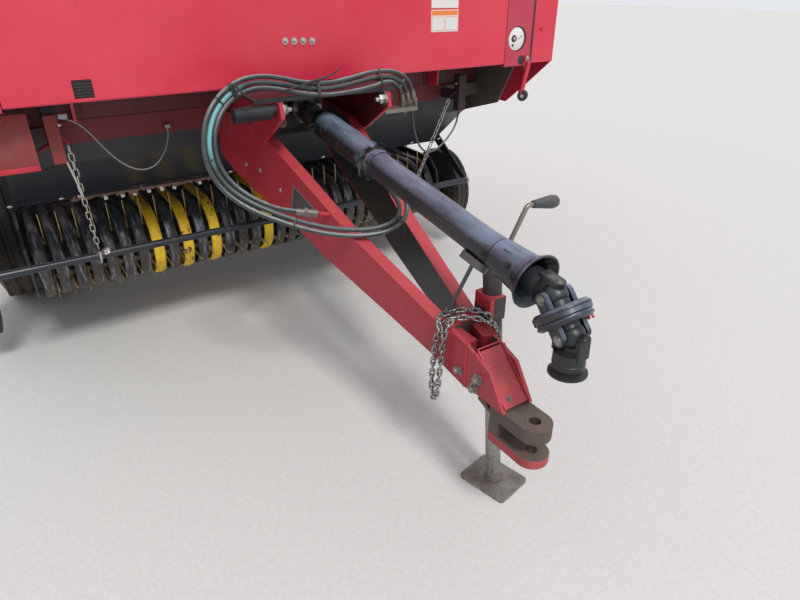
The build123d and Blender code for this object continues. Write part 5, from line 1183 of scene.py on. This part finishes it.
jack = {"lean": 6.4, "x": 0.106, "y": -1.870, "foot": 0.012, "top": 0.845, "slope": 0.11217,
        "plateZ": 0.6700, "plateHigh": 0.0765, "plate": 0.0010, "pivotY": -1.7785, "pivotZ": 0.816}
jackLean = Vector((0, sin(radians(jack["lean"])), cos(radians(jack["lean"]))))
bm = bmesh.new()
lathe(bm, [(0.0250, 0.0090), (0.0290, 0.0050), (0.0330, 0.0000), (0.0330, -0.0020)],
      facing((jack["x"], jack["y"], jack["foot"]), jackLean), 28)
keepPiece("jackFootDetail", bm, "footRust", "jack_foot", smooth=40)

bm = bmesh.new()
atTop = facing((jack["x"], jack["y"] + jack["top"] * jack["slope"], jack["top"]), jackLean)
lathe(bm, [(0, 0.0215), (0.022, 0.0200), (0.0310, 0.0150), (0.0330, 0.0110)], atTop, 28)
lathe(bm, [(0.0292, -0.544), (0.0312, -0.542), (0.0312, -0.530), (0.0292, -0.528)], atTop, 28)
slabs(bm, [((0.0440, jack["plate"], jack["plateHigh"]), (0.0982, -1.8366, jack["plateZ"]))])
slabs(bm, [((jack["plate"], 0.0130, jack["plateHigh"]),
            (0.1206, y, jack["plateZ"])) for y in (-1.8300, -1.7580)])
flatPlate(bm, [(0.0583, -1.8362, 0.6315), (0.0707, -1.7520, 0.6315), (0.0707, -1.7520, 0.6680),
               (0.0583, -1.8362, 0.6680)], (-1, arm["slope"], 0), arm["skin"])
for start, end, radius, sides, paint in ((0.134, 0.146, 0.0150, 18, 0), (0.140, 0.147, 0.0105, 6, 1)):
    rod(bm, (start, jack["pivotY"], jack["pivotZ"]), (end, jack["pivotY"], jack["pivotZ"]), radius, sides,
        paint)
keepPiece("jackTubeDetail", bm, ["blackPaint", "wornSteel"], "chassis", smooth=40)
print("shaft, clevis and jack details made")

# struts from the chain brackets outwards, and the hook under the right one

hook = [(-0.842, -0.655, 0.905), (-0.840, -0.656, 0.880), (-0.847, -0.659, 0.868), (-0.855, -0.661, 0.880)]
bm = bmesh.new()
for side in (-1, 1):
    rod(bm, (side * 0.878, -0.575, 1.054), (side * 0.978, -0.555, 1.002), 0.0085, 10)
    boltAt(bm, 13, (side * 0.8635, -0.630, 1.118), (-side, 0, 0), 1)
rod(bm, (-0.860, -0.646, 1.000), (-0.842, -0.655, 0.902), 0.0040, 8, 1)
tubeAlong(bm, readLine(hook, 5), 0.0040, 8, 1)
slabs(bm, [((0.1495, 0.003, 0.018), (-1.0202, -0.7012, 1.0010))], 0.001, 2)
keepPiece("bracketStruts", bm, ["bracketRed", "brightBolt", "redWorn"], "chassis", smooth=40)

# frame bolts, and the deflector's lip: round heads, rusty jagged edge, curls, tabs and holes

lip = {"down": Vector((0, -0.629, -0.777)), "along": Vector((0, 0.777, -0.629)),
       "middle": Vector((0, -0.2188, 0.7491)), "heads": (-1.070, -0.884, -0.160, 0.060, 0.330, 0.610, 0.884,
                                                         1.070), "start": -0.850, "step": 0.0102,
       "count": 60, "ragged": 0.0045, "dent": (22, 27), "dentDeep": 0.007, "lift": 0.0035, "reach": 0.026,
       "curls": ((-0.842, 0.4), (-0.560, -0.3), (-0.262, 0.5)), "curlRadius": 0.0045,
       "curl": ((0.012, -0.012, 0.010), (0.030, -0.010, 0.034), (0.055, 0.006, 0.040)),
       "tabs": (-0.714, -0.646, -0.592, -0.533, -0.476, -0.419, -0.304),
       "holes": (-0.800, -0.735, -0.672, -0.560, -0.505, -0.447, -0.385, -0.330)}
# each bolt on both sides of the frame: size and place
frameBolts = ((19, 1.1015, -0.640, 1.060), (19, 1.1015, -0.480, 1.060), (30, 1.2025, 0.060, 0.782),
              (36, 0.8405, 0.420, 0.600), (30, 0.8345, 0.640, 2.680), (24, 0.9105, 0.360, 1.240))


def onLip(x, down=0, along=0):
    return lip["middle"] + sideways * x + lip["down"] * down + lip["along"] * along


bm = bmesh.new()
for x in lip["heads"]:
    stamp(bm, roundHead, facing(onLip(x), lip["down"]) @ Matrix.Scale(1.15, 4))
for side in (-1, 1):
    for size, x, y, z in frameBolts:
        boltAt(bm, size, (side * x, y, z), (side, 0, 0))
keepPiece("frameBolts", bm, "brightBolt", "chassis", smooth=40)

bm = bmesh.new()
rows = []
random.seed(21)
for n in range(lip["count"]):
    x = lip["start"] + lip["step"] * n
    sag = (random.uniform(-lip["ragged"], lip["ragged"])
           + (lip["dentDeep"] if lip["dent"][0] < n < lip["dent"][1] else 0))
    base = lip["middle"] + lip["down"] * 0.001 + lip["along"] * (0.012 + sag * 0.4)
    rows.append([bm.verts.new(base + sideways * x + lip["down"] * a + lip["along"] * b)
                 for a, b in ((0, 0), (lip["lift"], 0), (lip["lift"] + sag, lip["reach"] + sag),
                              (sag, lip["reach"] + sag))])
sheath(bm, rows)
for x, lean in lip["curls"]:
    base = onLip(x, 0.006, 0.02)
    curl = [base, *(base + Vector((across * lean, y, z)) for across, y, z in lip["curl"])]
    tubeAlong(bm, readLine(curl, 5), lip["curlRadius"], 8)
for n, x in enumerate(lip["tabs"]):
    atTab = facing(onLip(x, 0.0060, 0.040 + 0.004 * (n % 3)), (0.1, -1, 0.25))
    slab(bm, (0.016, 0.024, 0.003), atTab @ Matrix.Rotation(0.3 * sin(n * 2.1), 4, "Z"), 0.0008, 1)
# the holes are near-black discs, painted shade
for n, x in enumerate(lip["holes"]):
    lathe(bm, [(0, 0.0008), (0.0042, 0.0008), (0.0052, 0.0016), (0.0058, 0.0004)],
          facing(onLip(x, 0.0042, 0.020 + 0.003 * (n % 2)), lip["down"]), 12, 2)
keepPiece("lipEdge", bm, ["lipRust", "labelWhite", "holeShade"], "chassis", smooth=35)

# wind guard's bar: bolts, sleeves, hooks for the chains, threaded ends and rings

bar = {"y": -0.350, "z": 0.522, "chainX": 0.806, "hookWire": 0.0052,
       "hook": ((0.806, -0.372, 0.548), (0.806, -0.378, 0.520), (0.808, -0.372, 0.498),
                (0.812, -0.352, 0.490), (0.815, -0.336, 0.502)),
       "thread": [(0, 0), (0.0095, 0), (0.0095, 0.0060), (0.0060, 0.0075), (0.0060, 0.0105),
                  (0.0085, 0.0120), (0.0060, 0.0140), (0.0085, 0.0160), (0.0060, 0.0180), (0.0085, 0.0200),
                  (0.0055, 0.0225), (0.0055, 0.0300), (0, 0.0310)]}
bm = bmesh.new()
for side in (-1, 1):
    boltAt(bm, 19, (side * 0.7798, -0.3565, 0.5365), (0, -0.5, 0.866), 0)
    lathe(bm, [(0.0160, -0.014), (0.0185, -0.012), (0.0185, 0.012), (0.0160, 0.014)],
          facing((side * bar["chainX"], bar["y"], bar["z"]), sideways), 20, 1)
    boltAt(bm, 19, (side * 1.1798, bar["y"], bar["z"]), (-side, 0, 0), 0)
for side in (-1, 1):
    tubeAlong(bm, readLine([(side * x, y, z) for x, y, z in bar["hook"]], 5),
              lambda share: bar["hookWire"] * (1 - 0.3 * share), 8)
    lathe(bm, bar["thread"], facing((side * 0.770, -0.3588, 0.5345), (0, -0.45, 0.893)), 14)
for n in range(9):
    lathe(bm, [(0.0159, -0.004), (0.0170, -0.002), (0.0170, 0.002), (0.0159, 0.004)],
          facing((-1.0 + 0.25 * n, bar["y"], bar["z"]), sideways), 16, 1)
keepPiece("guardBarDetail", bm, ["brightBolt", "blackPaint"], "guard", smooth=40)

# wheels: tyre with tread and side rings, bolts, cap and valve

wheel = {"place": (1.050, 0.760, 0.490), "gaugePlace": (1.292, 0.038, 0.365), "bolts": 8,
         "boltCircle": 0.112, "face": 0.0402, "holes": 6, "holeCircle": 0.168, "stem": (0.196, 0, 0.066),
         "stemLong": 0.034, "gaugeBolts": 5, "gaugeCircle": 0.055,
         "tyre": {"radius": 0.490, "width": 0.360, "bead": 0.2153, "beadHalf": 0.141, "grooves": 4,
                  "depth": 0.013, "blocks": 46, "steps": 92},
         "gaugeTyre": {"radius": 0.245, "width": 0.104, "bead": 0.098, "beadHalf": 0.038, "grooves": 2,
                       "depth": 0.007, "blocks": 34, "steps": 64},
         "gaugeDisc": [(0.0980, -0.040), (0.1040, -0.046), (0.0980, -0.036), (0.0950, -0.008),
                       (0.0300, -0.0062), (0.0300, 0.0062), (0.0950, 0.008), (0.0980, 0.036),
                       (0.1040, 0.046), (0.0980, 0.040)]}
# places up the tyre's wall, as shares of its height and of the tyre's width
tyreWall = ((0.15, 0.455), (0.28, 0.488), (0.30, 0.492), (0.33, 0.492), (0.35, 0.492), (0.46, 0.499),
            (0.60, 0.497), (0.70, 0.490), (0.72, 0.494), (0.75, 0.492), (0.77, 0.484), (0.88, 0.450),
            (0.955, 0.405))


def tyreMesh(radius, width, bead, beadHalf, grooves, depth, blocks, steps):
    shoulder, side = width * 0.36, radius - bead
    rib = 2 * shoulder / (2 * grooves + 1)
    half = [(bead, beadHalf), (bead + 0.05 * side, beadHalf + 0.004),
            *((bead + up * side, width * across) for up, across in tyreWall),
            (bead + 0.985 * side, shoulder + 0.003), (radius - 0.001, shoulder)]
    tread = []
    for n in range(grooves):
        edge = shoulder - (2 * n + 1) * rib
        tread += [(radius, edge + 0.002), (radius - 0.001, edge), (radius - depth, edge - 0.22 * rib),
                  (radius - depth, edge - 0.78 * rib), (radius - 0.001, edge - rib),
                  (radius, edge - rib - 0.002)]
    bm = bmesh.new()
    lathe(bm, half + tread + [(r, -z) for r, z in reversed(half)], Matrix(), steps)
    block = (0.016, 2 * pi * radius / blocks * 0.55, width * 0.085)
    for n in range(blocks):
        for way in (1, -1):
            turned = Matrix.Rotation(2 * pi * (n + (0.5 if way < 0 else 0)) / blocks, 4, "Z")
            atEdge = turned @ Matrix.Translation((radius - 0.0110, 0, way * (shoulder + width * 0.035)))
            slab(bm, block, atEdge @ Matrix.Rotation(way * 0.36, 4, "Y"), 0.003)
    return bm


for side, word in ((-1, "right"), (1, "left")):
    atWheel, atGauge = (facing((side * x, y, z), (side, 0, 0))
                        for x, y, z in (wheel["place"], wheel["gaugePlace"]))
    bm = tyreMesh(**wheel["tyre"])
    bmesh.ops.transform(bm, matrix=atWheel, verts=bm.verts[:])
    keepPiece(f"tyreLook_{word}", bm, "tyreRubber", f"wheel_{word}", [f"tyre_{word}"],
              smooth=32)
    bm = bmesh.new()
    for n in range(wheel["bolts"]):
        turned = atWheel @ Matrix.Rotation(2 * pi * n / wheel["bolts"], 4, "Z")
        boltAt(bm, 19, turned @ Vector((wheel["boltCircle"], 0, wheel["face"])), (side, 0, 0), 1)
    lathe(bm, [(0.0420, 0.1040), (0.0400, 0.1180), (0.0300, 0.1240), (0, 0.1250)], atWheel, 28)
    lathe(bm, [(0.0720, 0.0402), (0.0780, 0.0412), (0.0800, 0.0440), (0.0720, 0.0480)], atWheel, 36)
    stem = atWheel @ Vector(wheel["stem"])
    rod(bm, stem, stem + Vector((side * wheel["stemLong"], 0, 0)), 0.0045, 8, 2)
    # the rim's holes are near-black discs, painted shade
    for n in range(wheel["holes"]):
        lathe(bm, [(0, 0.0008), (0.0125, 0.0008), (0.0140, 0.0018), (0.0155, 0.0006)],
              facing(atWheel @ polar(wheel["holeCircle"], 2 * pi * (n + 0.5) / wheel["holes"], 0.0462),
                     (side, 0, 0)), 18, 3)
    keepPiece(f"rimDetail_{word}", bm, ["redWorn", "brightBolt", "strapRubber", "holeShade"], f"wheel_{word}",
              smooth=40)
    bm = tyreMesh(**wheel["gaugeTyre"])
    lathe(bm, wheel["gaugeDisc"], Matrix(), 48, 1)
    lathe(bm, [(0.0152, -0.0345), (0.0305, -0.0340), (0.0305, 0.0340), (0.0152, 0.0345)], Matrix(), 28, 1)
    for n in range(wheel["gaugeBolts"]):
        turned = Matrix.Rotation(2 * pi * n / wheel["gaugeBolts"], 4, "Z")
        boltAt(bm, 13, turned @ Vector((wheel["gaugeCircle"], 0, 0.0066)), (0, 0, 1), 2)
    bmesh.ops.transform(bm, matrix=atGauge, verts=bm.verts[:])
    keepPiece(f"gaugeLook_{word}", bm, ["tyreRubber", "blackPaint", "brightBolt"], f"gauge_{word}",
              [f"gauge_wheel_{word}"], smooth=32)
print("wheels made")

# side shields: pressed ribs, latch, reflector

shield = {"x": 1.3485, "ribs": (1.235, 1.560, 1.885), "latchZ": 1.150, "latchBolts": (-0.650, -0.570),
          "frontBolts": (1.352, 1.700, 2.050)}
for side, word in ((-1, "right"), (1, "left")):
    bm = bmesh.new()
    slabs(bm, [((0.006, 1.640, 0.044), (side * shield["x"], 0.210, z)) for z in shield["ribs"]], 0.0028)
    slabs(bm, [((0.006, 0.018, 1.020), (side * shield["x"], 1.139, 1.560))], 0.0025)
    slabs(bm, [((0.008, 0.110, 0.034), (side * 1.3510, -0.610, shield["latchZ"]))], 0.003, 1)
    slabs(bm, [((0.010, 0.070, 0.016), (side * 1.3560, -0.600, shield["latchZ"]))], 0.004, 1)
    lathe(bm, [(0, 0.006), (0.030, 0.006), (0.034, 0.003), (0.034, 0)],
          facing((side * 1.3492, 0.960, 1.120), (side, 0, 0)), 28, 2)
    for y in shield["latchBolts"]:
        boltAt(bm, 10, (side * 1.3552, y, shield["latchZ"]), (side, 0, 0), 3)
    for z in shield["frontBolts"]:
        boltAt(bm, 10, (side * 1.228, -0.7862, z), forward, 0)
    keepPiece(f"shieldDetail_{word}", bm, ["redPaint", "blackPaint", "lampAmber", "brightBolt"],
              f"shield_{word}", smooth=35)
print("shields made")

# rear: lamp lenses and frames, reflectors, bolts along the ribs, belt lacing

lamp = {"z": 1.420, "frameY": 2.2308, "plateY": 2.2153, "ribs": 12, "ribStep": 0.0155,
        "bolts": (0.570, 0.750), "frame": ((0.660, 1.4665, (0.206, 0.033, 0.006)),
                                           (0.660, 1.3735, (0.206, 0.033, 0.006)),
                                           (0.5575, 1.420, (0.006, 0.033, 0.092)),
                                           (0.7625, 1.420, (0.006, 0.033, 0.092)))}


def rearPlate(bm, low, high, bottom, top, thick, paint):
    corners = ((low, bottom), (high, bottom), (high, top), (low, top))
    flatPlate(bm, [(x, lamp["plateY"], z) for x, z in corners], (0, 1, 0), thick, paint)


bm = bmesh.new()
for side in (-1, 1):
    slabs(bm, [(size, (side * x, lamp["frameY"], z)) for x, z, size in lamp["frame"]], 0.002)
    slabs(bm, [((0.058, 0.004, 0.086), (side * 0.729, 2.2465, lamp["z"]))], 0.0015, 1)
    for n in range(lamp["ribs"]):
        slabs(bm, [((0.0035, 0.003, 0.080), (side * (0.574 + lamp["ribStep"] * n), 2.2468, lamp["z"]))],
              0.001, 1 if n > 8 else 2)
    for x in lamp["bolts"]:
        boltAt(bm, 10, (side * x, 2.2470, 1.3800), (0, 1, 0), 3)
    rearPlate(bm, side * 0.300, side * 0.420, 1.395, 1.445, 0.002, 2)
rearPlate(bm, -0.160, 0.160, 1.385, 1.455, 0.001, 4)
keepPiece("rearLampDetail", bm, ["gripPlastic", "lampAmber", "lampRed", "brightBolt", "labelWhite"],
          "tailgate", smooth=35)

gate = {"bolts": ((1.250, 2.540), (1.140, 2.555), (0.940, 2.610)), "boltX": 0.8201, "capX": 0.8001,
        "capBoltX": 0.8045, "bearings": ((1.440, 0.665), (2.020, 1.200), (2.080, 1.700), (1.620, 2.420),
                                         (0.900, 2.560)), "capCircle": 0.040,
        "cap": [(0, 0.010), (0.030, 0.010), (0.034, 0.006), (0.046, 0.005), (0.048, 0)]}
bm = bmesh.new()
for side in (-1, 1):
    for y, z in gate["bolts"]:
        boltAt(bm, 24, (side * gate["boltX"], y, z), (side, 0, 0))
    for y, z in gate["bearings"]:
        lathe(bm, gate["cap"], facing((side * gate["capX"], y, z), (side, 0, 0)), 28)
        for n in range(3):
            a = 2 * pi * n / 3
            boltAt(bm, 13, (side * gate["capBoltX"], y + gate["capCircle"] * cos(a),
                            z + gate["capCircle"] * sin(a)), (side, 0, 0))
keepPiece("tailgateBearings", bm, "wornSteel", "tailgate", smooth=40)

lacing = {"belts": 6, "pitch": 0.26333, "hooks": 22, "start": -0.084, "step": 0.008, "y": 2.1456, "z": 1.480,
          "lean": 6.8}
bm = bmesh.new()
for n in range(lacing["belts"]):
    for k in range(lacing["hooks"]):
        x = (n - 2.5) * lacing["pitch"] + lacing["start"] + lacing["step"] * k
        atHook = (Matrix.Translation((x, lacing["y"], lacing["z"]))
                  @ Matrix.Rotation(radians(lacing["lean"]), 4, "X"))
        slab(bm, (0.0035, 0.0016, 0.026), atHook)
keepPiece("beltLacing", bm, "wornSteel", "tailgate", smooth=0)
print("rear details made")

# soft edges on the part's own castings and plates

softEdges = {"drawbar": 0.0030, "hitch_clevis": 0.0035, "hose_shelf": 0.0015, "gearbox": 0.0040,
             "main_frame": 0.0030, "axle": 0.0040, "joint_ring": 0.0015, "front_shaft": 0.0025,
             "tractor_yoke": 0.0025, "rear_shaft": 0.0025, "jack_leg": 0.0020, "shaft_rest": 0.0060,
             "chain_brackets": 0.0025, "twine_box": 0.0030, "hose_fittings": 0.0010, "rear_lamps": 0.0030}
for name, width in softEdges.items():
    soft = nodes[name].modifiers.new("edges", "BEVEL")
    soft.width, soft.segments, soft.limit_method, soft.angle_limit = width, 2, "ANGLE", radians(38)
print("edges softened")
